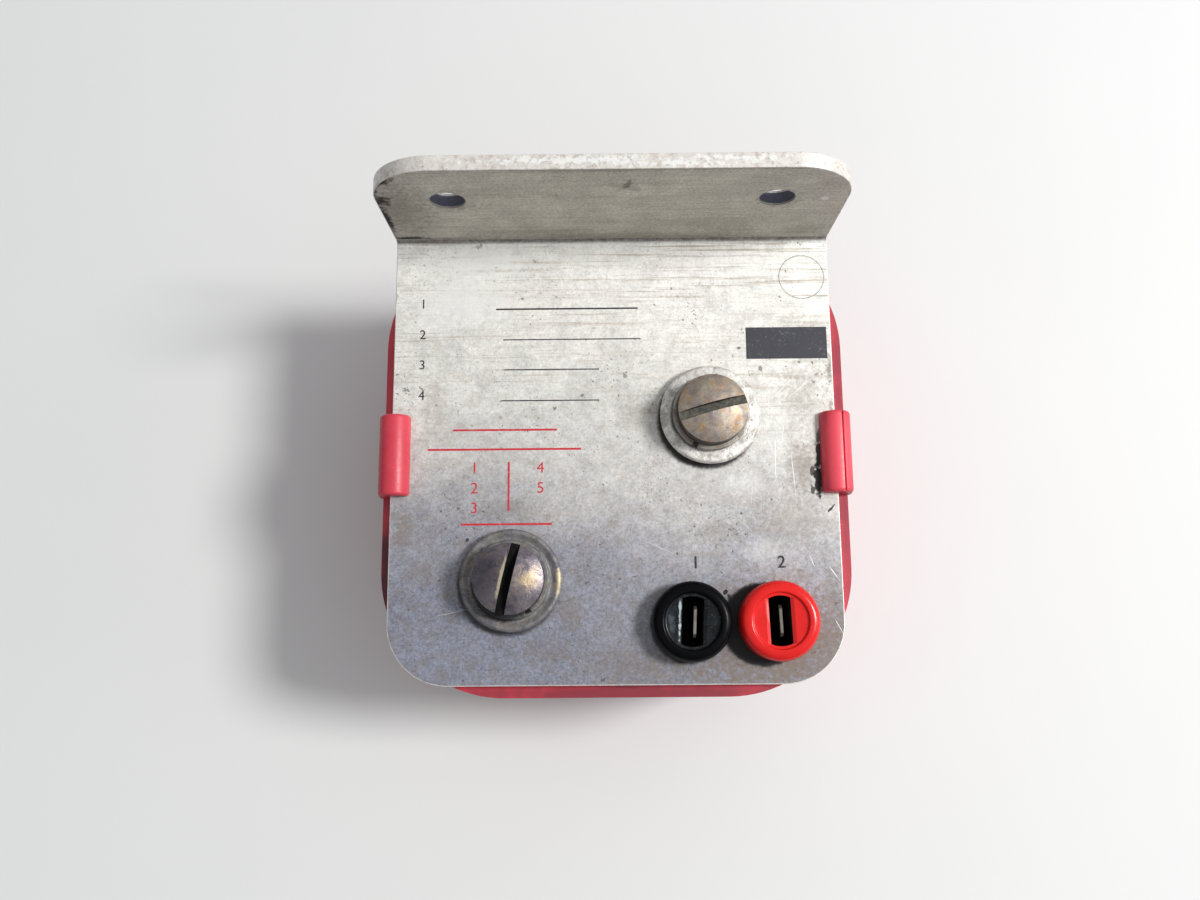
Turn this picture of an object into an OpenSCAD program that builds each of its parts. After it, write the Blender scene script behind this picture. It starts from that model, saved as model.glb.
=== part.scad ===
// Starting vibrator of a piston aircraft engine: a buzzer with interrupter points,
// hung in rubber on a folded sheet bracket and closed by a moulded housing that clips on.
// Origin: midway between the two flange holes, on the flange's outer face.
// +Y points out of the flange's outer face, +Z out of the face plate's front.

/* [Bracket] */
// Width of the face plate and of the flange
plate_w = 69.85; // [68:0.05:72]
// Length of the face plate, from the flange's inner face to its free end
plate_l = 70.7; // [69:0.1:73]
// Thickness of the sheet
sheet_t = 2.29; // [1.6:0.01:2.6]
// Inner radius of the fold
bend_r = 1.2; // [0.8:0.1:2.5]
// Radius of the face plate's two free corners
plate_corner_r = 9.5; // [6:0.5:12]
// Height of the flange's free edge over the face plate's front
flange_h = 26; // [24:0.5:32]
// Radius of the flange's two free corners
flange_corner_r = 9.5; // [4:0.5:10]
// Diameter of the two flange holes
hole_d = 5.2; // [4.2:0.1:6.6]
// Distance between the two flange holes
hole_pitch = 48.6; // [40:0.1:52]
// Height of the flange holes over the face plate's front
hole_h = 16; // [12:0.5:18]

/* [Housing] */
// How far the housing reaches past the plate at either end
housing_over = 1.9; // [1.4:0.1:2.6]
// Free room between the armature's end and the housing's back wall
housing_room = 3.1; // [2:0.1:10]
// Radius of the housing's four upright corners at the rim
housing_corner_r = 19.5; // [14:0.5:22]
// Thickness of the side walls
housing_wall = 2.2; // [1.6:0.1:2.4]
// Thickness of the back wall
housing_floor_t = 2.2; // [1.6:0.1:3]
// Radius of the edge round the back wall
housing_foot_r = 5; // [3.5:0.5:7]
// Moulding draft of the side walls, in degrees
draft_angle = 1; // [0.5:0.1:1.5]
// How far the housing sits to the right of the plate's middle
housing_shift = 0.2; // [0:0.05:0.4]
// Thickness of the hooks' uprights outside the plate's edges
hook_t = 1.8; // [1.6:0.1:3]
// How far the hooks' uprights stand proud of the housing's rim
hook_proud = 0.35; // [0.1:0.05:0.6]
// Length of each hook along the plate's edge
hook_l = 12.8; // [8:0.1:18]
// How far each hook reaches over the face plate
hook_reach = 2.8; // [2:0.1:4]
// Clearance between the left hook's upright and the plate's edge
hook_gap = 0.075; // [0.05:0.005:0.3]
// Width of the parting line on the right hook
seam_w = 0.3; // [0.2:0.05:0.5]
// Depth of the parting line on the right hook
seam_depth = 0.35; // [0.2:0.05:0.6]
// Turn of the parting line round the right hook's bead, in degrees from straight up
seam_turn = 20; // [10:1:60]
// Rounding of the hooks' corners
hook_corner_r = 0.5; // [0.2:0.1:1]

/* [Fasteners] */
// Distance of the upper screw from the plate's right edge
upper_screw_inset = 19.825; // [19.2:0.005:20.5]
// Distance of the lower screw from the plate's left edge
lower_screw_inset = 19.025; // [18.4:0.005:19.7]
// Distance between the two screws along the plate
screw_rise = 25.5; // [25:0.1:26.5]
// Distance of the middle between the two screws below the plate's middle
screws_under = 6.8; // [6.4:0.1:7.2]
// Thread diameter of the two screws
screw_d = 6.2; // [5:0.1:6.3]
// Diameter of the screw heads
screw_head_d = 10.6; // [9:0.1:11.5]
// Height of the upright side of the screw heads
screw_side_h = 3; // [1:0.1:3.6]
// Height of the dome on the screw heads
screw_dome_h = 1.3; // [1:0.1:2]
// Width of the screwdriver slots
slot_w = 1.4; // [1:0.1:1.8]
// Depth of the screwdriver slots below the top of the dome
slot_depth = 1.5; // [1:0.1:2.2]
// Turn of the upper screw's slot from level, in degrees
upper_slot_turn = 15; // [0:1:179]
// Turn of the lower screw's slot from level, in degrees
lower_slot_turn = 77; // [0:1:179]
// Outer diameter of the split lock washers
lock_washer_d = 11.9; // [11:0.1:12.6]
// Thickness of the split lock washers
lock_washer_t = 1.2; // [1:0.1:1.6]
// Width of the split in the lock washers
lock_split_w = 0.7; // [0.4:0.1:1.2]
// Turn of the upper lock washer's split, in degrees
upper_split_turn = 243; // [0:1:359]
// Turn of the lower lock washer's split, in degrees
lower_split_turn = 300; // [0:1:359]
// Outer diameter of the flat washers
flat_washer_d = 15.6; // [14:0.1:16.5]
// Thickness of the flat washers
flat_washer_t = 1.2; // [1:0.1:1.6]
// Rounding of the flat washers' outer edge
flat_washer_r = 0.5; // [0.2:0.1:0.6]
// Clearance of screws and pins in plain holes, on the radius
screw_gap = 0.15; // [0.1:0.01:0.2]
// Diameter of the plate's two grommet holes
grommet_hole_d = 11; // [10:0.1:12]
// Diameter of the grommets' two lips
grommet_lip_d = 14.4; // [12.6:0.1:15]
// Thickness of each grommet lip
grommet_lip_t = 0.8; // [0.6:0.1:1.2]
// Rounding of the grommets' lips
grommet_lip_r = 0.3; // [0.1:0.05:0.35]
// Outer diameter of the spacers inside the grommets
spacer_d = 8.6; // [8:0.1:9]
// Size of the hexagon nuts across flats
nut_af = 11.1; // [9.6:0.1:11.6]
// Thickness of the hexagon nuts
nut_t = 4; // [3:0.1:4.6]
// How far the screws stand out of their nuts
screw_end = 1.1; // [0.5:0.1:1.5]
// Chamfer round the corners of the nuts
nut_chamfer = 0.6; // [0.3:0.1:0.9]
// Clearance that parts fitted into each other keep
fit_gap = 0.05; // [0.03:0.01:0.08]

/* [Terminals] */
// Distance of the input terminal from the plate's right edge
input_inset = 10.325; // [9.6:0.005:10.5]
// Distance between the two terminals
terminal_pitch = 13.1; // [12.8:0.1:13.6]
// Distance of both terminals from the plate's free end
terminal_rise = 9.4; // [8.8:0.1:10]
// Diameter of the insulators in front of the plate
insulator_d = 12; // [11:0.1:12.6]
// Height of the insulators over the plate
insulator_h = 4; // [3:0.1:5]
// Diameter of the insulators' necks in the plate
insulator_neck_d = 9.6; // [9:0.1:10]
// Length of the insulators behind the plate
insulator_rear_l = 6.5; // [5:0.1:7]
// Thickness of the insulators' closed end
insulator_floor_t = 1.5; // [1:0.1:2]
// Rounding of the insulators' outer rim
insulator_rim_r = 1.2; // [0.6:0.1:1.3]
// Rounding of the rim towards the sunk face
insulator_lip_r = 0.4; // [0.2:0.05:0.45]
// Diameter of the sunk face inside the rim
recess_d = 8.4; // [8:0.1:8.6]
// Depth of the sunk face below the rim
recess_depth = 0.7; // [0.5:0.1:1]
// Length of the plug slot
plug_slot_l = 7.5; // [7:0.1:7.8]
// Width of the plug slot
plug_slot_w = 3.3; // [3:0.1:3.6]
// Lead-in chamfer along the plug slot
plug_chamfer = 0.5; // [0.2:0.1:0.6]
// Turn of the output terminal, in degrees
output_turn = -3; // [-8:1:8]
// Turn of the input terminal, in degrees
input_turn = 2; // [-8:1:8]
// Width of the terminal blades
blade_w = 4.75; // [4.2:0.05:5.2]
// Thickness of the terminal blades
blade_t = 0.5; // [0.4:0.05:0.8]
// How far each blade stands off the slot's middle
blade_offset = 0.6; // [0:0.1:0.8]
// Height of the blade tips over the plate's front
blade_tip_h = 0.3; // [0:0.1:2]
// Chamfer at the blade tips
blade_tip_chamfer = 0.5; // [0.3:0.1:1]
// Width of the solder tails
tail_w = 3; // [2.4:0.1:3.4]
// Length of the solder tails behind the insulators
tail_l = 4.5; // [4:0.1:5]
// Diameter of the solder holes
solder_hole_d = 1.4; // [1:0.1:1.6]
// Outer diameter of the push-on retainers
retainer_d = 12.4; // [11.6:0.1:12.6]
// Thickness of the push-on retainers
retainer_t = 0.5; // [0.4:0.1:0.8]
// Width of the slits between the retainers' teeth
retainer_slit_w = 0.8; // [0.5:0.1:1]
// Depth of the slits between the retainers' teeth
retainer_slit_depth = 0.7; // [0.4:0.1:0.9]

/* [Chassis and magnet] */
// Space between the face plate and the chassis
chassis_gap = 5; // [4.5:0.1:6]
// Thickness of the chassis
chassis_t = 1.6; // [1.2:0.1:2]
// Rounding of the chassis corners
chassis_r = 4; // [2:0.5:5]
// Distance of the chassis's left edge from the plate's left edge
chassis_left_inset = 10.9; // [8:0.1:12]
// Distance of the chassis's right edge from the plate's right edge
chassis_right_inset = 3.4; // [2.4:0.1:3.4]
// Upper edge of the chassis over the upper screw
chassis_over = 17; // [16:0.5:20]
// Lower edge of the chassis under the lower screw
chassis_under = 7.5; // [6.5:0.5:8.5]
// Space that the chassis leaves round the terminals
chassis_clear = 2; // [1.5:0.1:2.5]
// Distance of the yoke's left end from the plate's left edge
yoke_inset = 12.925; // [12.4:0.005:13.5]
// Distance of the armature's inner face from the plate's right edge
armature_inset = 25.175; // [24.8:0.005:25.5]
// Width of the yoke and the armature
yoke_w = 12; // [10:0.5:12.5]
// Thickness of the yoke
yoke_t = 2.5; // [2:0.1:3]
// Inner radius of the yoke's fold
yoke_bend_r = 0.25; // [0.1:0.05:0.25]
// How far the yoke's short leg reaches beyond the core's axis
yoke_beyond = 7; // [6:0.5:8]
// Diameter of the magnet core
core_d = 8; // [6:0.5:9]
// Diameter of the core's riveted end
core_rivet_d = 5.5; // [4:0.5:5.5]
// Height of the riveted head outside the yoke
core_head_t = 1; // [0.6:0.1:1.4]
// Diameter of the pole shoe
pole_d = 12; // [10:0.5:14]
// Thickness of the pole shoe
pole_t = 1.3; // [1:0.1:2]
// Diameter of the bobbin's cheeks
cheek_d = 18; // [15:0.5:18.5]
// Thickness of the bobbin's cheeks
cheek_t = 1.2; // [1:0.1:2]
// Wall of the bobbin's tube
bobbin_wall = 0.9; // [0.6:0.1:1.2]
// Diameter over the winding
winding_d = 16.4; // [13:0.1:16.8]
// Diameter of the round turns seen on the winding
wire_d = 0.82; // [0.5:0.02:1]
// Gap between the coil and the yoke's long leg
coil_gap = 0.5; // [0.3:0.1:0.8]

/* [Armature and points] */
// Open gap between pole and armature at rest
air_gap = 0.75; // [0.7:0.05:1]
// Clearance of the armature at its knife edge
knife_gap = 0.05; // [0.03:0.01:0.1]
// Thickness of the armature
armature_t = 2.2; // [1.6:0.1:2.6]
// Distance of the points below the knife edge
point_drop = 16; // [14:0.5:17]
// How far the armature reaches beyond the points
armature_beyond = 2.6; // [2.2:0.1:3]
// Rounding of the armature's two free corners
armature_corner_r = 2; // [1:0.5:3]
// Gap between the armature's upper edge and the chassis
armature_top_gap = 0.3; // [0.2:0.1:0.6]
// Width of the leaf spring
leaf_w = 9; // [7:0.5:10]
// Thickness of the leaf spring
leaf_t = 0.3; // [0.2:0.05:0.4]
// Inner radius of the leaf spring's bend
leaf_bend_r = 1.5; // [1:0.1:2]
// Length of the spring clamp
clamp_l = 18; // [15:0.5:20]
// Thickness of the spring clamp
clamp_t = 1; // [0.8:0.1:1.4]
// Distance between the two yoke screws
yoke_screw_pitch = 11; // [9:0.5:12]
// Thread diameter of the small screws
small_screw_d = 3; // [2.4:0.1:3.2]
// Head diameter of the small screws
small_head_d = 5.4; // [4.6:0.1:5.8]
// Head height of the small screws
small_head_h = 1.8; // [1.4:0.1:2]
// Slot width of the small screws
small_slot_w = 0.7; // [0.5:0.1:1]
// Slot depth of the small screws
small_slot_depth = 0.9; // [0.6:0.1:1.1]
// Distance from a blind screw's end to the far face of what it is driven into
screw_blind = 0.4; // [0.2:0.1:0.8]
// How far the other small screws stand out of what they are driven into
screw_proud = 0.8; // [0.4:0.1:1]
// Diameter of the rivets between leaf and armature
rivet_d = 1.8; // [1.4:0.1:2.2]
// Diameter of the rivet heads
rivet_head_d = 3.2; // [2.6:0.1:3.6]
// Height of the rivet heads
rivet_head_h = 0.6; // [0.4:0.1:0.8]
// Distance of the rivets below the knife edge
rivet_drop = 6; // [4:0.5:8]
// Distance between the two rivets
rivet_pitch = 5; // [4:0.5:5.5]
// Depth of the rivets' sunk ends
rivet_sink = 0.5; // [0.3:0.1:0.7]
// Diameter of the contact points
point_d = 3.6; // [3:0.1:4.5]
// Thickness of each contact point
point_t = 0.9; // [0.6:0.1:1.2]
// Gap between the closed points
point_gap = 0.03; // [0.02:0.01:0.05]
// Diameter of the moving point's rivet shank
point_shank_d = 2; // [1.4:0.1:2.4]
// Length of the fixed point's shank in its screw
fixed_shank_l = 2; // [1.5:0.1:3]

/* [Contact bracket and condenser] */
// Distance from the fixed point's back to the contact bracket
bracket_stand = 3; // [2:0.1:4]
// Width of the contact bracket
bracket_w = 9; // [8:0.5:11]
// Thickness of the contact bracket
bracket_t = 1.6; // [1.2:0.1:2]
// Length of the contact bracket's foot
bracket_foot_l = 13.6; // [13:0.1:14]
// Inner radius of the contact bracket's fold
bracket_bend_r = 0.8; // [0.5:0.1:1.5]
// How far the contact bracket reaches beyond the contact screw
bracket_beyond = 4; // [3:0.1:4.2]
// Thickness of the insulating strip
strip_t = 0.8; // [0.5:0.1:1]
// How far the insulating strip stands out round the foot
strip_margin = 0.8; // [0.5:0.1:1]
// Outer diameter of the insulating bushings' collars
bushing_d = 6; // [5.6:0.1:6.4]
// Thickness of the insulating bushings' collars
bushing_t = 0.7; // [0.5:0.1:1]
// Wall of the insulating bushings' necks
bushing_wall = 0.6; // [0.4:0.1:0.8]
// Distance between the two bracket screws
bracket_screw_pitch = 6.4; // [6.2:0.1:6.6]
// Distance of the outer bracket screw from the end of the foot
bracket_screw_inset = 3.3; // [3.2:0.1:3.5]
// Rounding of the free corners of bracket, strip, clamp and strap
small_corner_r = 1.2; // [0.5:0.1:1.4]
// Thread diameter of the contact screw
contact_screw_d = 4; // [3:0.1:4.5]
// Length of the contact screw behind its point
contact_screw_l = 9.5; // [8.5:0.1:11]
// Size of the lock nut across flats
lock_nut_af = 7; // [6:0.1:8]
// Thickness of the lock nut
lock_nut_t = 2.4; // [2:0.1:3]
// Diameter of the condenser's can
condenser_d = 12; // [10:0.5:12.5]
// Distance of the condenser's closed end from the plate's left edge
condenser_inset = 14.925; // [13:0.005:19]
// Distance of the condenser's sealed end from the upper screw's axis
condenser_beside = 9.1; // [8.1:0.1:11]
// Distance of the condenser's axis over the upper screw
condenser_over = 10; // [9.5:0.1:11]
// Depth of the sealed end of the condenser
seal_depth = 0.6; // [0.3:0.1:1]
// Width of the rolled edge round the sealed end
seal_edge = 0.8; // [0.5:0.1:1.2]
// Width of the condenser's strap
strap_w = 8; // [6:0.5:10]
// Thickness of the condenser's strap
strap_t = 0.8; // [0.6:0.1:1]
// Reach of the strap's ear beyond the condenser's axis
strap_ear_l = 14; // [13:0.5:14]
// Distance of the strap's screw from the end of its ear
strap_screw_inset = 3.4; // [3:0.1:4]
// Outer diameter of the insulated leads
lead_d = 1.5; // [1.2:0.1:1.5]
// Clearance between the leads and what they are soldered to
lead_gap = 0.12; // [0.1:0.01:0.2]
// Diameter of the bare coil end
coil_end_d = 0.7; // [0.5:0.1:0.9]
// Width of the coil's solder tag
tag_w = 3; // [2.4:0.1:3.6]
// Thickness of the coil's solder tag
tag_t = 0.5; // [0.4:0.05:0.6]
// How far the coil's solder tag stands out of the cheek
tag_out = 4; // [3:0.1:5]
// How deep the coil's solder tag sits in the cheek
tag_depth = 2.5; // [1.5:0.1:3]

/* [Hidden] */
$fn = 64;
// Overrun of every cut past the face it leaves
cut = 1;

// Levels: the face plate's front and back, the chassis's front and back
face_z = -hole_h;
back_z = face_z - sheet_t;
chassis_front_z = back_z - chassis_gap;
chassis_back_z = chassis_front_z - chassis_t;

// The flange's inner face, the plate's free end and the fold's axis
inner_y = -sheet_t;
end_y = inner_y - plate_l;
bend_y = inner_y - bend_r;
bend_z = face_z + bend_r;

// The plate's two long edges and its middle
right_x = plate_w / 2;
left_x = -right_x;
middle_y = inner_y - plate_l / 2;

// The housing's size at its rim, its corners' axes, and the uprights and the bead of its hooks
upright_x = right_x + hook_gap + housing_shift;
hooks_x = upright_x + hook_t;
hook_root_z = back_z - 2 * hook_proud;
housing_w = 2 * (hooks_x - hook_proud);
housing_l = plate_l + 2 * housing_over;
corner_x = housing_w / 2 - housing_corner_r;
corner_y = housing_l / 2 - housing_corner_r;
bead_x = right_x - hook_reach;
bead_r = (hooks_x - bead_x) / 2;

// Places of the two screws and the two terminals; the magnet's axis runs midway between the screws
magnet_y = middle_y - screws_under;
upper_at = [right_x - upper_screw_inset, magnet_y + screw_rise / 2];
lower_at = [left_x + lower_screw_inset, magnet_y - screw_rise / 2];
input_x = right_x - input_inset;
output_x = input_x - terminal_pitch;
terminal_y = end_y + terminal_rise;
output_at = [output_x, terminal_y];
input_at = [input_x, terminal_y];

// The stack under each screw head
flat_washer_z = face_z + grommet_lip_t;
lock_washer_z = flat_washer_z + flat_washer_t;
head_z = lock_washer_z + lock_washer_t;
screw_l = head_z - chassis_back_z + nut_t + screw_end;
screw_hole_r = screw_d / 2 + screw_gap;
screw_bore_r = screw_d / 2 + fit_gap;

// Levels inside a terminal
insulator_top_z = face_z + insulator_h;
sunk_z = insulator_top_z - recess_depth;
rear_z = back_z - insulator_rear_l;
slot_floor_z = rear_z + insulator_floor_t;
tail_end_z = rear_z - tail_l;
tail_hole_z = tail_end_z + tail_w / 2;
slit_count = 6;

// The magnet: its axis runs along X, and the bobbin fills the room between yoke and pole shoe
yoke_bottom_z = chassis_back_z - yoke_t;
axis_z = yoke_bottom_z - coil_gap - cheek_d / 2;
armature_x = right_x - armature_inset;
pole_x = armature_x - air_gap - pole_t;
yoke_x = left_x + yoke_inset;
bobbin_x = yoke_x + yoke_t;
bobbin_l = pole_x - bobbin_x;
core_hole_r = core_d / 2 + fit_gap;
tube_r = core_hole_r + bobbin_wall;
winding_l = bobbin_l - 2 * cheek_t;
turn_count = floor(winding_l / wire_d);
turn_pitch = winding_l / turn_count;
turn_share = 0.55;
tag_y = magnet_y - cheek_d / 2;
tag_x = pole_x - cheek_t / 2;

// The armature, its leaf spring and the clamp, and the housing's back under them
armature_out_x = armature_x + armature_t;
leaf_out_x = armature_out_x + leaf_t;
armature_top_z = chassis_back_z - armature_top_gap;
yoke_end_x = armature_x - knife_gap;
point_z = yoke_bottom_z - point_drop;
armature_end_z = point_z - armature_beyond;
leaf_end_z = armature_end_z + leaf_t;
leaf_bend_x = armature_out_x - leaf_bend_r;
leaf_bend_z = chassis_front_z - leaf_bend_r;
clamp_x = yoke_end_x - clamp_l;
clamp_z = chassis_front_z + leaf_t;
yoke_screw_x = clamp_x + (clamp_l - yoke_screw_pitch) / 2;
rivet_z = yoke_bottom_z - rivet_drop;
window_x = yoke_end_x - fit_gap;
window_end_x = leaf_out_x + leaf_bend_r;
floor_z = armature_end_z - housing_room - housing_floor_t;
small_hole_r = small_screw_d / 2 + screw_gap;
small_bore_r = small_screw_d / 2 + fit_gap;
small_dome_h = small_head_h / 3;

// The fixed point, its screw and its bracket
fixed_point_x = leaf_out_x + point_t + point_gap;
contact_screw_x = fixed_point_x + point_t;
bracket_x = contact_screw_x + bracket_stand;
bracket_end_x = bracket_x + bracket_foot_l;
bracket_screw_x = bracket_end_x - bracket_screw_inset - bracket_screw_pitch;
bracket_bend_x = bracket_x + bracket_t + bracket_bend_r;
foot_z = chassis_back_z - strip_t;
foot_under_z = foot_z - bracket_t;
bracket_bend_z = foot_under_z - bracket_bend_r;
neck_r = small_bore_r + bushing_wall;

// The condenser and its strap
strap_r = condenser_d / 2 + fit_gap;
condenser_y = upper_at.y + condenser_over;
condenser_z = chassis_back_z - strap_t - strap_r;
condenser_x = left_x + condenser_inset;
condenser_right = upper_at.x - condenser_beside;
condenser_l = condenser_right - condenser_x;
strap_x = condenser_right - condenser_l / 2;
strap_end_y = condenser_y - strap_ear_l;
strap_screw_y = strap_end_y + strap_screw_inset;
strap_under_z = chassis_back_z - strap_t;

// Routes of the leads: both ends lie beside what they are soldered to, and the points between are chosen
// by hand, measured from the plate's right edge or the yoke, from the free end or the magnet's axis,
// and from the plate's back or the magnet's axis
function by_terminals(x, y, z) = [right_x - x, end_y + y, back_z - z];
function by_magnet(x, y, z) = [right_x - x, magnet_y + y, back_z - z];
function by_yoke(x, y, z) = [yoke_x + x, magnet_y - y, axis_z + z];
beside_tail = blade_offset - blade_t / 2 - lead_d / 2 - lead_gap;
beside_tag_x = tag_x + tag_t / 2 + lead_d / 2 + lead_gap;
under_foot = back_z - foot_under_z + lead_d / 2 + lead_gap;
beside_yoke = yoke_w / 2 + coil_end_d / 2 + lead_gap;
input_route = [
    [input_x + beside_tail, terminal_y, tail_hole_z], [input_x + beside_tail, terminal_y, tail_end_z],
    by_terminals(11.325, 10.19, 13.11), by_terminals(14.425, 11.59, 15.31),
    by_terminals(19.325, 12.99, 17.11), by_terminals(23.325, 13.19, 18.11),
    by_terminals(25.725, 13.59, 18.51),
    [beside_tag_x, tag_y - tag_out, axis_z], [beside_tag_x, tag_y - tag_out / 2, axis_z]
];
output_route = [
    [output_x + beside_tail, terminal_y, tail_hole_z], [output_x + beside_tail, terminal_y, tail_end_z],
    by_terminals(22.725, 10.79, 12.31), by_terminals(18.425, 13.69, 12.31),
    by_terminals(11.925, 16.99, 11.61), by_magnet(6.925, -8.06, 10.91),
    by_magnet(5.125, -4.76, 10.11), by_magnet(5.125, -2.96, under_foot),
    by_magnet(5.125, -1.66, under_foot)
];
condenser_route = [
    [condenser_right - seal_depth + lead_gap, condenser_y, condenser_z],
    by_magnet(26.925, 22.74, 13.41), by_magnet(22.925, 22.54, 13.31),
    by_magnet(16.925, 21.84, 12.91), by_magnet(10.925, 18.44, 12.11),
    by_magnet(6.925, 12.44, 11.11), by_magnet(5.125, 5.44, 10.11),
    by_magnet(5.125, 3.04, under_foot), by_magnet(5.125, 1.74, under_foot)
];
coil_end_route = [
    by_yoke(4.8, 8.56, -0.01), by_yoke(4.4, 9.76, 0.29), by_yoke(3, 10.16, 0.89), by_yoke(1.7, 8.96, 1.49),
    by_yoke(1.2, 7.16, 1.99), by_yoke(1.2, beside_yoke, 3.49), by_yoke(1.2, beside_yoke, 5.29)
];
lead_sides = 8;
lead_steps = 4;
lean_share = 0.5;

// Outlines and shapes that several pieces share

// A strip that starts square at zero and ends at l with two round corners
module tab_outline(w, l, r) {
    translate([-w / 2, 0]) square([w, l - r]);
    translate([r - w / 2, 0]) square([w - 2 * r, l]);
    for (side = [-1, 1]) {
        translate([side * (w / 2 - r), l - r]) circle(r);
    }
}

// A rectangle between two corners, with round corners
module round_outline(from, to, r) {
    translate([from.x + r, from.y]) square([to.x - from.x - 2 * r, to.y - from.y]);
    translate([from.x, from.y + r]) square([to.x - from.x, to.y - from.y - 2 * r]);
    for (x = [from.x + r, to.x - r], y = [from.y + r, to.y - r]) {
        translate([x, y]) circle(r);
    }
}

// A quarter fold of a strip about the Y axis, from +X round to +Z
module fold(r, t, w) {
    translate([0, w / 2, 0]) rotate([90, 0, 0]) rotate_extrude(angle = 90) {
        translate([r, 0]) square([t, w]);
    }
}

// A cylinder along X that starts at the origin
module rod(r, l) {
    rotate([0, 90, 0]) cylinder(h = l, r = r);
}

// A washer or tube between two radii
module ring(outer_r, inner_r, h) {
    difference() {
        cylinder(h = h, r = outer_r);
        translate([0, 0, -cut]) cylinder(h = h + 2 * cut, r = inner_r);
    }
}

// A slotted screw whose head stands on the origin and whose shank points down
module slotted_screw(d, head_d, side_h, dome_h, l, groove_w, groove_depth) {
    dome_r = (pow(head_d / 2, 2) + pow(dome_h, 2)) / (2 * dome_h);
    difference() {
        rotate_extrude() {
            translate([0, -l]) square([d / 2, l]);
            square([head_d / 2, side_h]);
            intersection() {
                translate([0, side_h]) square([head_d / 2, dome_h]);
                translate([0, side_h + dome_h - dome_r]) circle(dome_r);
            }
        }
        translate([-head_d / 2 - cut, -groove_w / 2, side_h + dome_h - groove_depth])
            cube([head_d + 2 * cut, groove_w, groove_depth + cut]);
    }
}

// A small screw: all of them have the same head
module small_screw(l) {
    slotted_screw(
        small_screw_d, small_head_d, small_head_h - small_dome_h, small_dome_h, l,
        small_slot_w, small_slot_depth
    );
}

// A hexagon nut with both faces chamfered, standing on the origin
module hex_nut(af, h, bore_r, chamfer) {
    corner_r = af / 2 / cos(30);
    difference() {
        intersection() {
            cylinder(h = h, r = corner_r, $fn = 6);
            rotate_extrude() polygon([
                [0, 0], [corner_r - chamfer, 0], [corner_r, chamfer / 2],
                [corner_r, h - chamfer / 2], [corner_r - chamfer, h], [0, h]
            ]);
        }
        translate([0, 0, -cut]) cylinder(h = h + 2 * cut, r = bore_r);
    }
}

// A smooth curve through points, and a round lead along it
function unit(v) = v / norm(v);
function between(a, b, c, d, t) = (
    2 * b + (c - a) * t + (2 * a - 5 * b + 4 * c - d) * t * t + (3 * b - a - 3 * c + d) * t * t * t
) / 2;
function point_at(p, i) = p[max(0, min(len(p) - 1, i))];
function smooth(p, n) = concat(
    [for (i = [0 : len(p) - 2], k = [0 : n - 1])
        between(point_at(p, i - 1), p[i], p[i + 1], point_at(p, i + 2), k / n)],
    [p[len(p) - 1]]
);
function headings(p) = [for (i = [0 : len(p) - 1]) unit(point_at(p, i + 1) - point_at(p, i - 1))];
function sides(t, v, i = 0) = i == len(t) ? []
    : let (s = unit(v - (v * t[i]) * t[i])) concat([s], sides(t, s, i + 1));

module lead(route, d) {
    path = smooth(route, lead_steps);
    along = headings(path);
    across = sides(along, [0, 1, 0] + cross([0, 1, 0], along[0]) * lean_share);
    last = len(path) - 1;
    ring_points = [for (i = [0 : last], k = [0 : lead_sides - 1])
        let (a = 360 * k / lead_sides)
        path[i] + d / 2 * (across[i] * cos(a) + cross(along[i], across[i]) * sin(a))];
    side_faces = [for (i = [0 : last - 1], k = [0 : lead_sides - 1], half = [0, 1])
        let (a = i * lead_sides + k, b = i * lead_sides + (k + 1) % lead_sides)
        half == 0 ? [a, b, b + lead_sides] : [a, b + lead_sides, a + lead_sides]];
    first_cap = [for (k = [lead_sides - 1 : -1 : 0]) k];
    last_cap = [for (k = [0 : lead_sides - 1]) last * lead_sides + k];
    polyhedron(points = ring_points, faces = concat([first_cap], side_faces, [last_cap]));
}

// Bracket and housing

module mounting_plate() color("silver") {
    grommet_hole_r = grommet_hole_d / 2;
    difference() {
        union() {
            translate([0, bend_y, back_z]) mirror([0, 1, 0]) linear_extrude(sheet_t) {
                tab_outline(plate_w, bend_y - end_y, plate_corner_r);
            }
            translate([-plate_w / 2, bend_y, bend_z]) rotate([0, 90, 0]) rotate_extrude(angle = 90) {
                translate([bend_r, 0]) square([sheet_t, plate_w]);
            }
            translate([0, 0, bend_z]) rotate([90, 0, 0]) linear_extrude(sheet_t) {
                tab_outline(plate_w, flange_h - bend_r, flange_corner_r);
            }
        }
        for (side = [-1, 1]) {
            translate([side * hole_pitch / 2, cut, 0]) rotate([90, 0, 0])
                cylinder(h = sheet_t + 2 * cut, r = hole_d / 2);
        }
        for (at = [upper_at, lower_at]) {
            translate([at.x, at.y, back_z - cut]) cylinder(h = sheet_t + 2 * cut, r = grommet_hole_r);
        }
        for (at = [output_at, input_at]) {
            translate([at.x, at.y, back_z - cut])
                cylinder(h = sheet_t + 2 * cut, r = insulator_neck_d / 2 + fit_gap);
        }
    }
}

// Filled half section of a drafted cup, from a corner's axis outwards
module cup_section(r, low_z, foot_r, top_z) {
    slope = tan(draft_angle);
    foot_z = low_z + foot_r;
    foot_x = r - (back_z - foot_z) * slope - foot_r / cos(draft_angle);
    polygon([
        [0, low_z], [foot_x, low_z],
        [foot_x + foot_r * cos(draft_angle), foot_z - foot_r * sin(draft_angle)],
        [r + (top_z - back_z) * slope, top_z], [0, top_z]
    ]);
    translate([foot_x, foot_z]) circle(foot_r);
}

// Half section of the housing: back wall, rounded foot and drafted side wall
module housing_section() {
    difference() {
        cup_section(housing_corner_r, floor_z, housing_foot_r, back_z);
        cup_section(
            housing_corner_r - housing_wall, floor_z + housing_floor_t,
            housing_foot_r - housing_wall, back_z + cut
        );
    }
}

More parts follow.
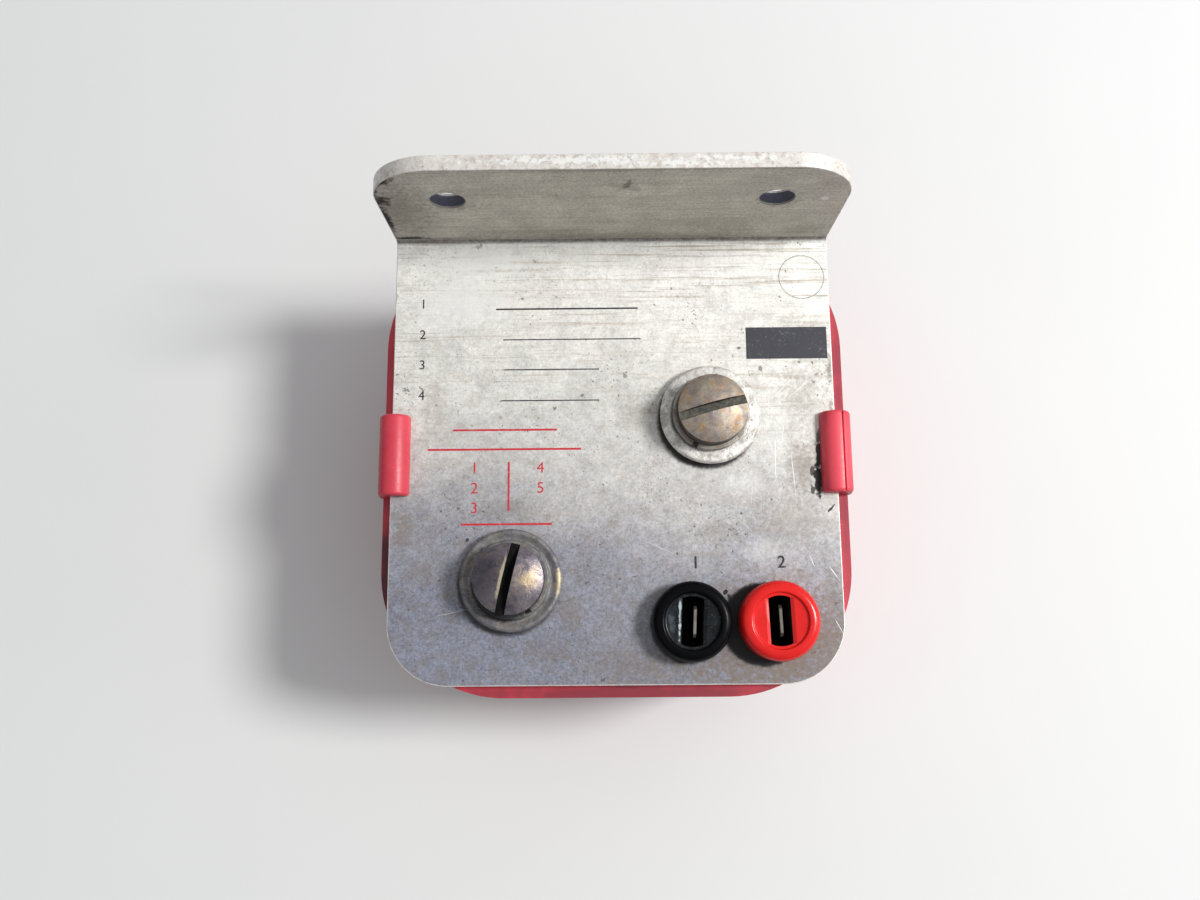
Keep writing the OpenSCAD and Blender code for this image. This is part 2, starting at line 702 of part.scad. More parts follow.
// A straight side of the housing, turned about its middle
module housing_side(turn, out, half_run) {
    rotate([0, 0, turn]) translate([out, half_run, 0]) rotate([90, 0, 0]) {
        linear_extrude(2 * half_run) housing_section();
    }
}

// A hook: an upright outside the plate's edge with a half-round bead over it
module hook() {
    intersection() {
        translate([0, hook_l / 2, 0]) rotate([90, 0, 0]) linear_extrude(hook_l) {
            polygon([
                [upright_x, face_z], [upright_x, hook_root_z], [hooks_x - 2 * hook_proud, hook_root_z],
                [hooks_x, back_z], [hooks_x, face_z]
            ]);
            intersection() {
                translate([bead_x + bead_r, face_z]) circle(bead_r);
                translate([bead_x, face_z]) square([2 * bead_r, bead_r]);
            }
        }
        translate([0, 0, hook_root_z]) linear_extrude(face_z + bead_r - hook_root_z) {
            round_outline([bead_x, -hook_l / 2], [hooks_x, hook_l / 2], hook_corner_r);
        }
    }
}

module housing() color("firebrick") {
    translate([housing_shift, middle_y, 0]) difference() {
        union() {
            for (at = [[1, 1, 0], [-1, 1, 90], [-1, -1, 180], [1, -1, 270]]) {
                translate([at.x * corner_x, at.y * corner_y, 0]) rotate([0, 0, at.z])
                    rotate_extrude(angle = 90) housing_section();
            }
            for (turn = [0, 180]) {
                housing_side(turn, corner_x, corner_y);
                housing_side(turn + 90, corner_y, corner_x);
            }
            translate([-corner_x, -corner_y, floor_z]) cube([2 * corner_x, 2 * corner_y, housing_floor_t]);
            for (turn = [0, 180]) {
                rotate([0, 0, turn]) hook();
            }
        }
        translate([bead_x + bead_r, -hook_l / 2 - cut, face_z]) rotate([0, seam_turn, 0])
            translate([-seam_w / 2, 0, bead_r - seam_depth])
                cube([seam_w, hook_l + 2 * cut, seam_depth + cut]);
    }
}

// Screws, washers, grommets, spacers and nuts

module plate_screw(at, turn) {
    translate([at.x, at.y, head_z]) rotate([0, 0, turn]) {
        slotted_screw(screw_d, screw_head_d, screw_side_h, screw_dome_h, screw_l, slot_w, slot_depth);
    }
}

module lock_washer(at, turn) {
    translate([at.x, at.y, lock_washer_z]) difference() {
        ring(lock_washer_d / 2, screw_hole_r, lock_washer_t);
        rotate([0, 0, turn]) translate([0, -lock_split_w / 2, -cut])
            cube([lock_washer_d, lock_split_w, lock_washer_t + 2 * cut]);
    }
}

module flat_washer(at) {
    translate([at.x, at.y, flat_washer_z]) rotate_extrude() {
        translate([screw_hole_r, 0])
            square([flat_washer_d / 2 - flat_washer_r - screw_hole_r, flat_washer_t]);
        translate([screw_hole_r, flat_washer_r])
            square([flat_washer_d / 2 - screw_hole_r, flat_washer_t - 2 * flat_washer_r]);
        for (z = [flat_washer_r, flat_washer_t - flat_washer_r]) {
            translate([flat_washer_d / 2 - flat_washer_r, z]) circle(flat_washer_r);
        }
    }
}

// The rubber ring in the plate: a neck in the hole and a rounded lip on each face
module grommet(at) {
    bore_r = spacer_d / 2 + fit_gap;
    lip_r = grommet_lip_d / 2;
    translate([at.x, at.y, 0]) rotate_extrude() {
        translate([bore_r, back_z]) square([grommet_hole_d / 2 - fit_gap - bore_r, sheet_t]);
        for (z = [back_z - grommet_lip_t, face_z]) {
            translate([bore_r, z]) square([lip_r - grommet_lip_r - bore_r, grommet_lip_t]);
            translate([bore_r, z + grommet_lip_r])
                square([lip_r - bore_r, grommet_lip_t - 2 * grommet_lip_r]);
            for (edge_z = [z + grommet_lip_r, z + grommet_lip_t - grommet_lip_r]) {
                translate([lip_r - grommet_lip_r, edge_z]) circle(grommet_lip_r);
            }
        }
    }
}

module spacer(at) {
    translate([at.x, at.y, chassis_front_z])
        ring(spacer_d / 2, screw_hole_r, flat_washer_z - chassis_front_z);
}

module plate_nut(at) {
    translate([at.x, at.y, chassis_back_z - nut_t]) hex_nut(nut_af, nut_t, screw_bore_r, nut_chamfer);
}

module upper_screw() color("rosybrown") plate_screw(upper_at, upper_slot_turn);
module upper_lock_washer() color("darkgray") lock_washer(upper_at, upper_split_turn);
module upper_flat_washer() color("gainsboro") flat_washer(upper_at);
module upper_grommet() color("dimgray") grommet(upper_at);
module upper_spacer() color("silver") spacer(upper_at);
module upper_nut() color("darkgray") plate_nut(upper_at);
module lower_screw() color("gray") plate_screw(lower_at, lower_slot_turn);
module lower_lock_washer() color("darkgray") lock_washer(lower_at, lower_split_turn);
module lower_flat_washer() color("darkgray") flat_washer(lower_at);
module lower_grommet() color("dimgray") grommet(lower_at);
module lower_spacer() color("silver") spacer(lower_at);
module lower_nut() color("darkgray") plate_nut(lower_at);

// Terminals

// Half section of an insulator: neck, rounded rim and sunk face
module insulator_section() {
    rim_x = insulator_d / 2;
    translate([0, rear_z]) square([insulator_neck_d / 2, face_z - rear_z]);
    translate([0, face_z]) square([rim_x, insulator_h - insulator_rim_r]);
    translate([0, face_z]) square([recess_d / 2, insulator_h - recess_depth]);
    difference() {
        translate([recess_d / 2, face_z]) square([rim_x - insulator_rim_r - recess_d / 2, insulator_h]);
        translate([recess_d / 2, insulator_top_z - insulator_lip_r]) difference() {
            translate([-cut, 0]) square([cut + insulator_lip_r, cut]);
            translate([insulator_lip_r, 0]) circle(insulator_lip_r);
        }
    }
    translate([rim_x - insulator_rim_r, insulator_top_z - insulator_rim_r]) circle(insulator_rim_r);
}

module insulator(at, turn) {
    side_l = 2 * sqrt(pow(plug_slot_l / 2, 2) - pow(plug_slot_w / 2, 2));
    lead_in_w = plug_slot_w / 2 + plug_chamfer;
    translate([at.x, at.y, 0]) rotate([0, 0, turn]) difference() {
        rotate_extrude() insulator_section();
        translate([0, 0, slot_floor_z]) linear_extrude(sunk_z - slot_floor_z + cut) intersection() {
            circle(plug_slot_l / 2);
            square([plug_slot_w, plug_slot_l], center = true);
        }
        translate([0, side_l / 2, sunk_z]) rotate([90, 0, 0]) linear_extrude(side_l) polygon([
            [-plug_slot_w / 2, -plug_chamfer], [plug_slot_w / 2, -plug_chamfer], [lead_in_w, 0],
            [lead_in_w, fit_gap], [-lead_in_w, fit_gap], [-lead_in_w, 0]
        ]);
        translate([blade_offset - blade_t / 2 - fit_gap, -tail_w / 2 - fit_gap, rear_z - cut])
            cube([blade_t + 2 * fit_gap, tail_w + 2 * fit_gap, insulator_floor_t + 2 * cut]);
    }
}

// A push-on blade with a shoulder on the insulator's closed end and a solder tail behind it
module blade(at, turn) {
    tip_z = face_z + blade_tip_h;
    translate([at.x, at.y, 0]) rotate([0, 0, turn]) translate([blade_offset - blade_t / 2, 0, 0])
        rotate([90, 0, 90]) linear_extrude(blade_t) difference() {
            union() {
                polygon([
                    [-blade_w / 2, slot_floor_z], [blade_w / 2, slot_floor_z],
                    [blade_w / 2, tip_z - blade_tip_chamfer], [blade_w / 2 - blade_tip_chamfer, tip_z],
                    [blade_tip_chamfer - blade_w / 2, tip_z], [-blade_w / 2, tip_z - blade_tip_chamfer]
                ]);
                translate([-tail_w / 2, tail_hole_z]) square([tail_w, slot_floor_z - tail_hole_z]);
                translate([0, tail_hole_z]) circle(tail_w / 2);
            }
            translate([0, tail_hole_z]) circle(solder_hole_d / 2);
        }
}

// A push-on ring whose teeth grip the insulator's neck
module retainer(at) {
    bore_r = insulator_neck_d / 2 + fit_gap;
    translate([at.x, at.y, back_z - retainer_t]) difference() {
        ring(retainer_d / 2, bore_r, retainer_t);
        for (i = [1 : slit_count]) {
            rotate([0, 0, 360 * i / slit_count]) translate([0, -retainer_slit_w / 2, -cut])
                cube([bore_r + retainer_slit_depth, retainer_slit_w, retainer_t + 2 * cut]);
        }
    }
}

module output_insulator() color("black") insulator(output_at, output_turn);
module output_blade() color("gold") blade(output_at, output_turn);
module output_retainer() color("lightsteelblue") retainer(output_at);
module input_insulator() color("red") insulator(input_at, input_turn);
module input_blade() color("gold") blade(input_at, input_turn);
module input_retainer() color("lightsteelblue") retainer(input_at);

// Chassis and magnet

module chassis() color("lightsteelblue") {
    edge_x = left_x + chassis_left_inset;
    top_y = upper_at.y + chassis_over;
    notch_y = terminal_y + insulator_d / 2 + chassis_clear;
    notch_x = output_x - insulator_d / 2 - chassis_clear;
    window_w = leaf_w + 4 * screw_gap;
    translate([0, 0, chassis_back_z]) linear_extrude(chassis_t) difference() {
        union() {
            round_outline([edge_x, notch_y], [right_x - chassis_right_inset, top_y], chassis_r);
            round_outline(
                [edge_x, lower_at.y - chassis_under], [notch_x, notch_y + 2 * chassis_r], chassis_r
            );
        }
        for (at = [upper_at, lower_at]) {
            translate(at) circle(screw_hole_r);
        }
        for (i = [0, 1]) {
            translate([yoke_screw_x + i * yoke_screw_pitch, magnet_y]) circle(small_hole_r);
            translate([bracket_screw_x + i * bracket_screw_pitch, magnet_y]) circle(neck_r + fit_gap);
        }
        translate([strap_x, strap_screw_y]) circle(small_bore_r);
        translate([window_x, magnet_y - window_w / 2]) square([window_end_x - window_x, window_w]);
    }
}

// The magnet's folded bar: the long leg on the chassis, the short leg behind the coil
module yoke() color("slategray") {
    bend_x = yoke_x + yoke_t + yoke_bend_r;
    fold_z = yoke_bottom_z - yoke_bend_r;
    difference() {
        union() {
            translate([bend_x, magnet_y - yoke_w / 2, yoke_bottom_z])
                cube([yoke_end_x - bend_x, yoke_w, yoke_t]);
            translate([bend_x, magnet_y, fold_z]) mirror([1, 0, 0]) fold(yoke_bend_r, yoke_t, yoke_w);
            translate([yoke_x, magnet_y - yoke_w / 2, axis_z - yoke_beyond])
                cube([yoke_t, yoke_w, fold_z - axis_z + yoke_beyond]);
        }
        for (i = [0, 1]) {
            translate([yoke_screw_x + i * yoke_screw_pitch, magnet_y, yoke_bottom_z - cut])
                cylinder(h = yoke_t + 2 * cut, r = small_bore_r);
        }
        translate([yoke_x - cut, magnet_y, axis_z]) rod(core_rivet_d / 2 + fit_gap, yoke_t + 2 * cut);
    }
}

module core() color("slategray") {
    head_r = core_rivet_d / 2 + core_head_t;
    translate([0, magnet_y, axis_z]) {
        translate([yoke_x - core_head_t, 0, 0]) rod(head_r, core_head_t);
        translate([yoke_x, 0, 0]) rod(core_rivet_d / 2, yoke_t);
        translate([bobbin_x, 0, 0]) rod(core_d / 2, bobbin_l);
        translate([pole_x, 0, 0]) rod(pole_d / 2, pole_t);
    }
}

module bobbin() color("saddlebrown") {
    translate([0, magnet_y, axis_z]) difference() {
        union() {
            translate([bobbin_x, 0, 0]) rod(tube_r, bobbin_l);
            for (x = [bobbin_x, pole_x - cheek_t]) {
                translate([x, 0, 0]) rod(cheek_d / 2, cheek_t);
            }
        }
        translate([bobbin_x - cut, 0, 0]) rod(core_hole_r, bobbin_l + 2 * cut);
        translate([tag_x - tag_t / 2 - fit_gap, -cheek_d / 2 - cut, -tag_w / 2 - fit_gap])
            cube([tag_t + 2 * fit_gap, cut + tag_depth + fit_gap, tag_w + 2 * fit_gap]);
    }
}

// The coil, its outer turns side by side
module winding() color("sienna") {
    turn_r = turn_pitch * turn_share;
    turn_at_r = winding_d / 2 - turn_r;
    translate([bobbin_x + cheek_t, magnet_y, axis_z]) rotate([0, 90, 0]) rotate_extrude() intersection() {
        translate([tube_r + fit_gap, 0]) square([winding_d / 2 - tube_r, winding_l]);
        union() {
            translate([tube_r, 0]) square([turn_at_r - tube_r, winding_l]);
            for (i = [1 : turn_count]) {
                translate([turn_at_r, (i - 1 / 2) * turn_pitch]) circle(turn_r);
            }
        }
    }
}

// A strip set in the cheek, with a round eye for the lead
module coil_tag() color("gold") {
    eye_y = tag_w / 2 - tag_depth - tag_out;
    translate([tag_x - tag_t / 2, tag_y + tag_depth, axis_z]) rotate([90, 0, 90]) linear_extrude(tag_t) {
        difference() {
            union() {
                translate([eye_y, -tag_w / 2]) square([-eye_y, tag_w]);
                translate([eye_y, 0]) circle(tag_w / 2);
            }
            translate([eye_y, 0]) circle(solder_hole_d / 2);
        }
    }
}

module coil_end() color("sienna") lead(coil_end_route, coil_end_d);

// Leaf spring, armature and points

module leaf_spring() color("lightsteelblue") {
    difference() {
        union() {
            translate([clamp_x, magnet_y - leaf_w / 2, chassis_front_z])
                cube([leaf_bend_x - clamp_x, leaf_w, leaf_t]);
            translate([leaf_bend_x, magnet_y, leaf_bend_z]) fold(leaf_bend_r, leaf_t, leaf_w);
            translate([armature_out_x, magnet_y - leaf_w / 2, leaf_end_z])
                cube([leaf_t, leaf_w, leaf_bend_z - leaf_end_z]);
        }
        for (i = [0, 1]) {
            translate([yoke_screw_x + i * yoke_screw_pitch, magnet_y, chassis_front_z - cut])
                cylinder(h = leaf_t + 2 * cut, r = small_hole_r);
        }
        for (side = [-1, 1]) {
            translate([armature_out_x - cut, magnet_y + side * rivet_pitch / 2, rivet_z])
                rod(rivet_d / 2 + fit_gap, leaf_t + 2 * cut);
        }
        translate([armature_out_x - cut, magnet_y, point_z])
            rod(point_shank_d / 2 + fit_gap, leaf_t + 2 * cut);
    }
}

module spring_clamp() color("silver") {
    translate([0, magnet_y, clamp_z]) linear_extrude(clamp_t) difference() {
        round_outline([clamp_x, -leaf_w / 2], [yoke_end_x, leaf_w / 2], small_corner_r);
        for (i = [0, 1]) {
            translate([yoke_screw_x + i * yoke_screw_pitch, 0]) circle(small_hole_r);
        }
    }
}

module yoke_screws() color("darkgray") {
    for (i = [0, 1]) {
        translate([yoke_screw_x + i * yoke_screw_pitch, magnet_y, clamp_z + clamp_t])
            small_screw(clamp_t + leaf_t + chassis_t + yoke_t - screw_blind);
    }
}

// Shape of a rivet from its sunk end at the origin to the leaf, along X
module rivet_shank(gap) {
    rotate([0, 90, 0]) rotate_extrude() polygon([
        [0, 0], [rivet_d / 2 + rivet_sink + gap, 0], [rivet_d / 2 + gap, rivet_sink],
        [rivet_d / 2 + gap, armature_t + leaf_t], [0, armature_t + leaf_t]
    ]);
}

module armature() color("slategray") {
    difference() {
        translate([armature_x, magnet_y, armature_top_z]) rotate([90, 0, 90]) mirror([0, 1, 0]) {
            linear_extrude(armature_t) {
                tab_outline(yoke_w, armature_top_z - armature_end_z, armature_corner_r);
            }
        }
        for (side = [-1, 1]) {
            translate([armature_x, magnet_y + side * rivet_pitch / 2, rivet_z]) rivet_shank(fit_gap);
        }
        translate([armature_x - cut, magnet_y, point_z])
            rod(point_shank_d / 2 + fit_gap, armature_t + 2 * cut);
    }
}

module armature_rivets() color("gainsboro") {
    for (side = [-1, 1]) {
        translate([armature_x, magnet_y + side * rivet_pitch / 2, rivet_z]) {
            rivet_shank(0);
            translate([armature_t + leaf_t, 0, 0]) rod(rivet_head_d / 2, rivet_head_h);
        }
    }
}

module moving_contact() color("gainsboro") {
    translate([armature_x, magnet_y, point_z]) {
        rod(point_shank_d / 2, armature_t + leaf_t);
        translate([armature_t + leaf_t, 0, 0]) rod(point_d / 2, point_t);
    }
}

// Contact bracket, its insulation and the fixed point

module contact_bracket() color("goldenrod") {
    upright_l = bracket_bend_z - point_z + bracket_beyond;
    difference() {
        union() {
            translate([bracket_x, magnet_y, bracket_bend_z]) rotate([90, 0, 90]) mirror([0, 1, 0]) {
                linear_extrude(bracket_t) tab_outline(bracket_w, upright_l, small_corner_r);
            }
            translate([bracket_bend_x, magnet_y, bracket_bend_z]) mirror([1, 0, 0])
                fold(bracket_bend_r, bracket_t, bracket_w);
            translate([bracket_bend_x, magnet_y, foot_under_z]) rotate([0, 0, -90]) {
                linear_extrude(bracket_t)
                    tab_outline(bracket_w, bracket_end_x - bracket_bend_x, small_corner_r);
            }
        }
        for (i = [0, 1]) {
            translate([bracket_screw_x + i * bracket_screw_pitch, magnet_y, foot_under_z - cut])
                cylinder(h = bracket_t + 2 * cut, r = small_bore_r);
        }
        translate([bracket_x - cut, magnet_y, point_z])
            rod(contact_screw_d / 2 + fit_gap, bracket_t + 2 * cut);
    }
}

module bracket_strip() color("tan") {
    half_w = bracket_w / 2 + strip_margin;
    translate([0, magnet_y, foot_z]) linear_extrude(strip_t) difference() {
        round_outline(
            [bracket_x - strip_margin, -half_w], [bracket_end_x + strip_margin, half_w], small_corner_r
        );
        for (i = [0, 1]) {
            translate([bracket_screw_x + i * bracket_screw_pitch, 0]) circle(small_hole_r);
        }
    }
}

module bracket_bushings() color("tan") {
    for (i = [0, 1]) {
        translate([bracket_screw_x + i * bracket_screw_pitch, magnet_y, chassis_back_z]) {
            ring(neck_r, small_bore_r, chassis_t);
            translate([0, 0, chassis_t]) ring(bushing_d / 2, small_bore_r, bushing_t);
        }
    }
}

module bracket_screws() color("darkgray") {
    for (i = [0, 1]) {
        translate([bracket_screw_x + i * bracket_screw_pitch, magnet_y, chassis_front_z + bushing_t])
            small_screw(bushing_t + chassis_t + strip_t + bracket_t + screw_proud);
    }
}

module contact_screw() color("goldenrod") {
    translate([contact_screw_x, magnet_y, point_z]) difference() {
        rod(contact_screw_d / 2, contact_screw_l);
        translate([-cut, 0, 0]) rod(point_shank_d / 2 + fit_gap, cut + fixed_shank_l + fit_gap);
        translate([contact_screw_l - small_slot_depth, -contact_screw_d, -small_slot_w / 2])
            cube([small_slot_depth + cut, 2 * contact_screw_d, small_slot_w]);
    }
}

module lock_nut() color("goldenrod") {
    translate([bracket_x + bracket_t, magnet_y, point_z]) rotate([0, 90, 0])
        hex_nut(lock_nut_af, lock_nut_t, contact_screw_d / 2 + fit_gap, nut_chamfer);
}

module fixed_contact() color("gainsboro") {
    translate([fixed_point_x, magnet_y, point_z]) {
        rod(point_d / 2, point_t);
        translate([point_t, 0, 0]) rod(point_shank_d / 2, fixed_shank_l);
    }
}

// Condenser, strap and leads

// A rolled can: one rounded end, and a sealed end sunk inside its rolled edge
module condenser() color("gainsboro") {
    r = condenser_d / 2;
    translate([condenser_x, condenser_y, condenser_z]) rotate([0, 90, 0]) rotate_extrude() {
        translate([0, seal_edge]) square([r, condenser_l - seal_edge - seal_depth]);
        square([r - seal_edge, seal_edge]);
        translate([r - seal_edge, seal_edge]) circle(seal_edge);
        translate([r - seal_edge, condenser_l - seal_depth]) square([seal_edge, seal_depth]);
    }
}

// The band round the can and its flat ear on the chassis
module condenser_strap() color("lightsteelblue") {
    translate([strap_x - strap_w / 2, condenser_y, condenser_z]) difference() {
        union() {
            rod(strap_r + strap_t, strap_w);
            translate([0, -strap_ear_l, strap_r]) cube([strap_w, strap_ear_l, strap_t]);
        }
        translate([-cut, 0, 0]) rod(strap_r, strap_w + 2 * cut);
        translate([strap_w / 2, strap_screw_y - condenser_y, strap_r - cut])
            cylinder(h = strap_t + 2 * cut, r = small_hole_r);
    }
}

module strap_screw() color("darkgray") {
    translate([strap_x, strap_screw_y, strap_under_z]) mirror([0, 0, 1])
        small_screw(strap_t + chassis_t + screw_proud);
}

module input_lead() color("firebrick") lead(input_route, lead_d);
module output_lead() color("dimgray") lead(output_route, lead_d);
module condenser_lead() color("darkkhaki") lead(condenser_route, lead_d);

mounting_plate();
housing();
upper_screw();
upper_lock_washer();
upper_flat_washer();
upper_grommet();
upper_spacer();
upper_nut();
lower_screw();
lower_lock_washer();
lower_flat_washer();
lower_grommet();
lower_spacer();
lower_nut();
output_insulator();
output_blade();
output_retainer();
input_insulator();
input_blade();
input_retainer();
chassis();
yoke();
core();
bobbin();
winding();
coil_tag();
coil_end();
leaf_spring();
spring_clamp();
yoke_screws();
armature();
armature_rivets();
moving_contact();
contact_bracket();
bracket_strip();
bracket_bushings();
bracket_screws();
contact_screw();
lock_nut();
fixed_contact();
condenser();
condenser_strap();
strap_screw();
input_lead();
output_lead();
condenser_lead();
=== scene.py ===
import math

import bmesh
import bpy
from mathutils import Matrix, Quaternion, Vector


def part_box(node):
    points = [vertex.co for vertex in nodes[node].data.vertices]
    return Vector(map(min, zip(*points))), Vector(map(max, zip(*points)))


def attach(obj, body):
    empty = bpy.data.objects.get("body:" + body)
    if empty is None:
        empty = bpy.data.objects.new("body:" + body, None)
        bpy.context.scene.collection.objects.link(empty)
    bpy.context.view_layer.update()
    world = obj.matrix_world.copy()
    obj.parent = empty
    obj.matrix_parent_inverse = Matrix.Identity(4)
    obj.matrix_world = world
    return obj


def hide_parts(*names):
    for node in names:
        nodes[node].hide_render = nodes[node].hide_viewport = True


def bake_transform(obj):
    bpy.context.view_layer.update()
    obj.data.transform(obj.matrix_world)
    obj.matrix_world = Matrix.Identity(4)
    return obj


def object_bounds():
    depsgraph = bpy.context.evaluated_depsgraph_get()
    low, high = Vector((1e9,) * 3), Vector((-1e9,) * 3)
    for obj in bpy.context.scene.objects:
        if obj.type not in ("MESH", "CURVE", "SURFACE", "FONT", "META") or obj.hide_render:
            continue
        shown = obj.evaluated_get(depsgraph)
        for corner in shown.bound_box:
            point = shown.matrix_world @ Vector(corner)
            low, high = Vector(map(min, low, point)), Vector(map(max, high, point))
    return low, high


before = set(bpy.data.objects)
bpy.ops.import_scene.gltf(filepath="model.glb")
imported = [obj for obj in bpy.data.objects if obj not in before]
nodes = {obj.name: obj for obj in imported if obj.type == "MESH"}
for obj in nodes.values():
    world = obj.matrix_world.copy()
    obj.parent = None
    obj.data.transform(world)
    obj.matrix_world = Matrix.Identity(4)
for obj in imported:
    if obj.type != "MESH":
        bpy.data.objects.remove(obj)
cadBox = [list(corner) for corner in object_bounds()]
mm = 0.001
print("frame loaded:", len(nodes), "nodes")


def moveBy(bm, way):
    bmesh.ops.translate(bm, vec=way, verts=bm.verts)


def turnBy(bm, matrix):
    bmesh.ops.rotate(bm, cent=(0, 0, 0), matrix=matrix, verts=bm.verts)


def place(bm, spot, turn=0):
    turnBy(bm, Matrix.Rotation(turn, 3, "Z"))
    moveBy(bm, spot)
    return bm


def mergeDoubles(bm):
    bmesh.ops.remove_doubles(bm, verts=bm.verts, dist=1e-7)


def faceOut(bm):
    bmesh.ops.recalc_face_normals(bm, faces=bm.faces)


def pick(parts, kind):
    return [part for part in parts if isinstance(part, kind)]


# Draws all faces of a shape out along a way, which closes it
def drawOut(bm, way):
    drawn = bmesh.ops.extrude_face_region(bm, geom=bm.faces[:])
    bmesh.ops.translate(bm, vec=way, verts=pick(drawn["geom"], bmesh.types.BMVert))
    faceOut(bm)


def bevelGeometry(bm, geometry, size, segments, clamp=False, kind="EDGES"):
    bmesh.ops.bevel(
        bm, geom=geometry, offset=size, offset_type="OFFSET", segments=segments, profile=0.5, affect=kind,
        material=-1, clamp_overlap=clamp)


def fillHoles(bm):
    bmesh.ops.holes_fill(bm, edges=[edge for edge in bm.edges if edge.is_boundary], sides=0)


# Cuts a shape by a plane, and takes the outer side away where that is asked
def cutPlane(bm, spot, way, clear=False):
    whole = bm.verts[:] + bm.edges[:] + bm.faces[:]
    bmesh.ops.bisect_plane(bm, geom=whole, plane_co=spot, plane_no=way, clear_outer=clear)


# A box between two corners
def boxShape(low, high):
    bm = bmesh.new()
    bmesh.ops.create_cube(bm, size=1)
    bmesh.ops.scale(bm, vec=Vector(high) - Vector(low), verts=bm.verts)
    moveBy(bm, (Vector(low) + Vector(high)) / 2)
    return bm


# A rod of one radius from a point, along Z unless it is turned
def rodShape(start, radius, length, turn=None, steps=64):
    bm = bmesh.new()
    bmesh.ops.create_cone(
        bm, cap_ends=True, segments=steps, radius1=radius, radius2=radius, depth=length,
        matrix=Matrix.Translation((0, 0, length / 2)))
    if turn:
        turnBy(bm, turn)
    moveBy(bm, start)
    return bm


# A flat outline, in X and Z or in Y and Z, drawn out along the third axis
def drawnShape(outline, start, length, axis="Y"):
    bm = bmesh.new()
    if axis == "Y":
        corners = [bm.verts.new((a, start, b)) for a, b in outline]
        way = Vector((0, length, 0))
    else:
        corners = [bm.verts.new((start, a, b)) for a, b in outline]
        way = Vector((length, 0, 0))
    bm.faces.new(corners)
    drawOut(bm, way)
    return bm


# A profile of radius and height turned about Z; a closed profile makes a ring
def turnedShape(profile, closed=False, steps=96, angle=math.tau, start=0):
    bm = bmesh.new()
    points = [bm.verts.new((radius, 0, height)) for radius, height in profile]
    pairs = list(zip(points, points[1:]))
    if closed:
        pairs.append((points[-1], points[0]))
    edges = [bm.edges.new(pair) for pair in pairs]
    turnBy(bm, Matrix.Rotation(start, 3, "Z"))
    bmesh.ops.spin(
        bm, geom=points + edges, cent=(0, 0, 0), axis=(0, 0, 1), angle=angle, steps=steps,
        use_merge=angle >= math.tau)
    mergeDoubles(bm)
    if angle < math.tau:
        fillHoles(bm)
    faceOut(bm)
    return bm


# Rounds the ring edges of a turned shape at the named corners of its profile
def roundRings(bm, corners, segments=5):
    for radius, height, size in corners:
        rings = []
        for edge in bm.edges:
            spots = [(vert.co.xy.length, vert.co.z) for vert in edge.verts]
            if all(abs(r - radius) < 2e-6 and abs(z - height) < 2e-6 for r, z in spots):
                rings.append(edge)
        bevelGeometry(bm, rings, size, segments, True)


# Rounds the edges that a test picks out
def roundEdges(bm, test, size, segments=5):
    picked = [edge for edge in bm.edges if test(edge.verts[0].co, edge.verts[1].co)]
    bevelGeometry(bm, picked, size, segments)
    mergeDoubles(bm)


# Points of a domed head from its rim to its top
def domeProfile(radius, base, rise, count=14):
    sphere = (radius ** 2 + rise ** 2) / (2 * rise)
    widest = math.asin(radius / sphere)
    turns = [widest * (1 - step / count) for step in range(count + 1)]
    return [(sphere * math.sin(turn), base + rise - sphere + sphere * math.cos(turn)) for turn in turns]


# Puts several shapes into one, without joining their surfaces
def gather(shapes):
    together = bmesh.new()
    for shape in shapes:
        mesh = bpy.data.meshes.new("shape")
        shape.to_mesh(mesh)
        shape.free()
        together.from_mesh(mesh)
        bpy.data.meshes.remove(mesh)
    return together


# Joins a second closed shape to the first one, or takes it away
def combine(bm, other, operation="DIFFERENCE"):
    holders = []
    for shape in (bm, other):
        mesh = bpy.data.meshes.new("shape")
        shape.to_mesh(mesh)
        shape.free()
        holder = bpy.data.objects.new("shape", mesh)
        bpy.context.scene.collection.objects.link(holder)
        holders.append(holder)
    tool = holders[0].modifiers.new("combine", "BOOLEAN")
    tool.operation = operation
    tool.solver = "EXACT"
    tool.object = holders[1]
    bpy.context.view_layer.update()
    result = bmesh.new()
    result.from_object(holders[0], bpy.context.evaluated_depsgraph_get())
    for holder in holders:
        mesh = holder.data
        bpy.data.objects.remove(holder)
        bpy.data.meshes.remove(mesh)
    mergeDoubles(result)
    return result


# Makes a piece of a finished shape: its finish, its soft edges, its body and the CAD node it stands for
def addPiece(
        name, bm, finishes, standsFor=None, softEdge=0, edgeSteps=2, sharp=38, body="root",
        edgeFinish=-1):
    mesh = bpy.data.meshes.new(name)
    bm.to_mesh(mesh)
    bm.free()
    for finish in finishes:
        mesh.materials.append(finish)
    mesh.shade_smooth()
    mesh.set_sharp_from_angle(angle=math.radians(sharp))
    piece = bpy.data.objects.new(name, mesh)
    bpy.context.scene.collection.objects.link(piece)
    if softEdge:
        bevel = piece.modifiers.new("soft edges", "BEVEL")
        bevel.width = softEdge
        bevel.segments = edgeSteps
        bevel.limit_method = "ANGLE"
        bevel.angle_limit = math.radians(sharp)
        bevel.harden_normals = True
        bevel.material = edgeFinish
    if body:
        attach(piece, body)
    if standsFor:
        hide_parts(standsFor)
    return piece


# A colour as a picture shows it, 0 to 255, in the values that a shader takes
def shade(red, green, blue):
    values = []
    for part in (red, green, blue):
        part = part / 255
        values.append(part / 12.92 if part < 0.04045 else ((part + 0.055) / 1.055) ** 2.4)
    return (*values, 1)


def addNode(tree, kind, settings, inputs):
    made = tree.nodes.new(kind)
    for key, value in settings.items():
        setattr(made, key, value)
    for key, value in inputs.items():
        if isinstance(value, bpy.types.NodeSocket):
            tree.links.new(value, made.inputs[key])
        else:
            made.inputs[key].default_value = value
    return made


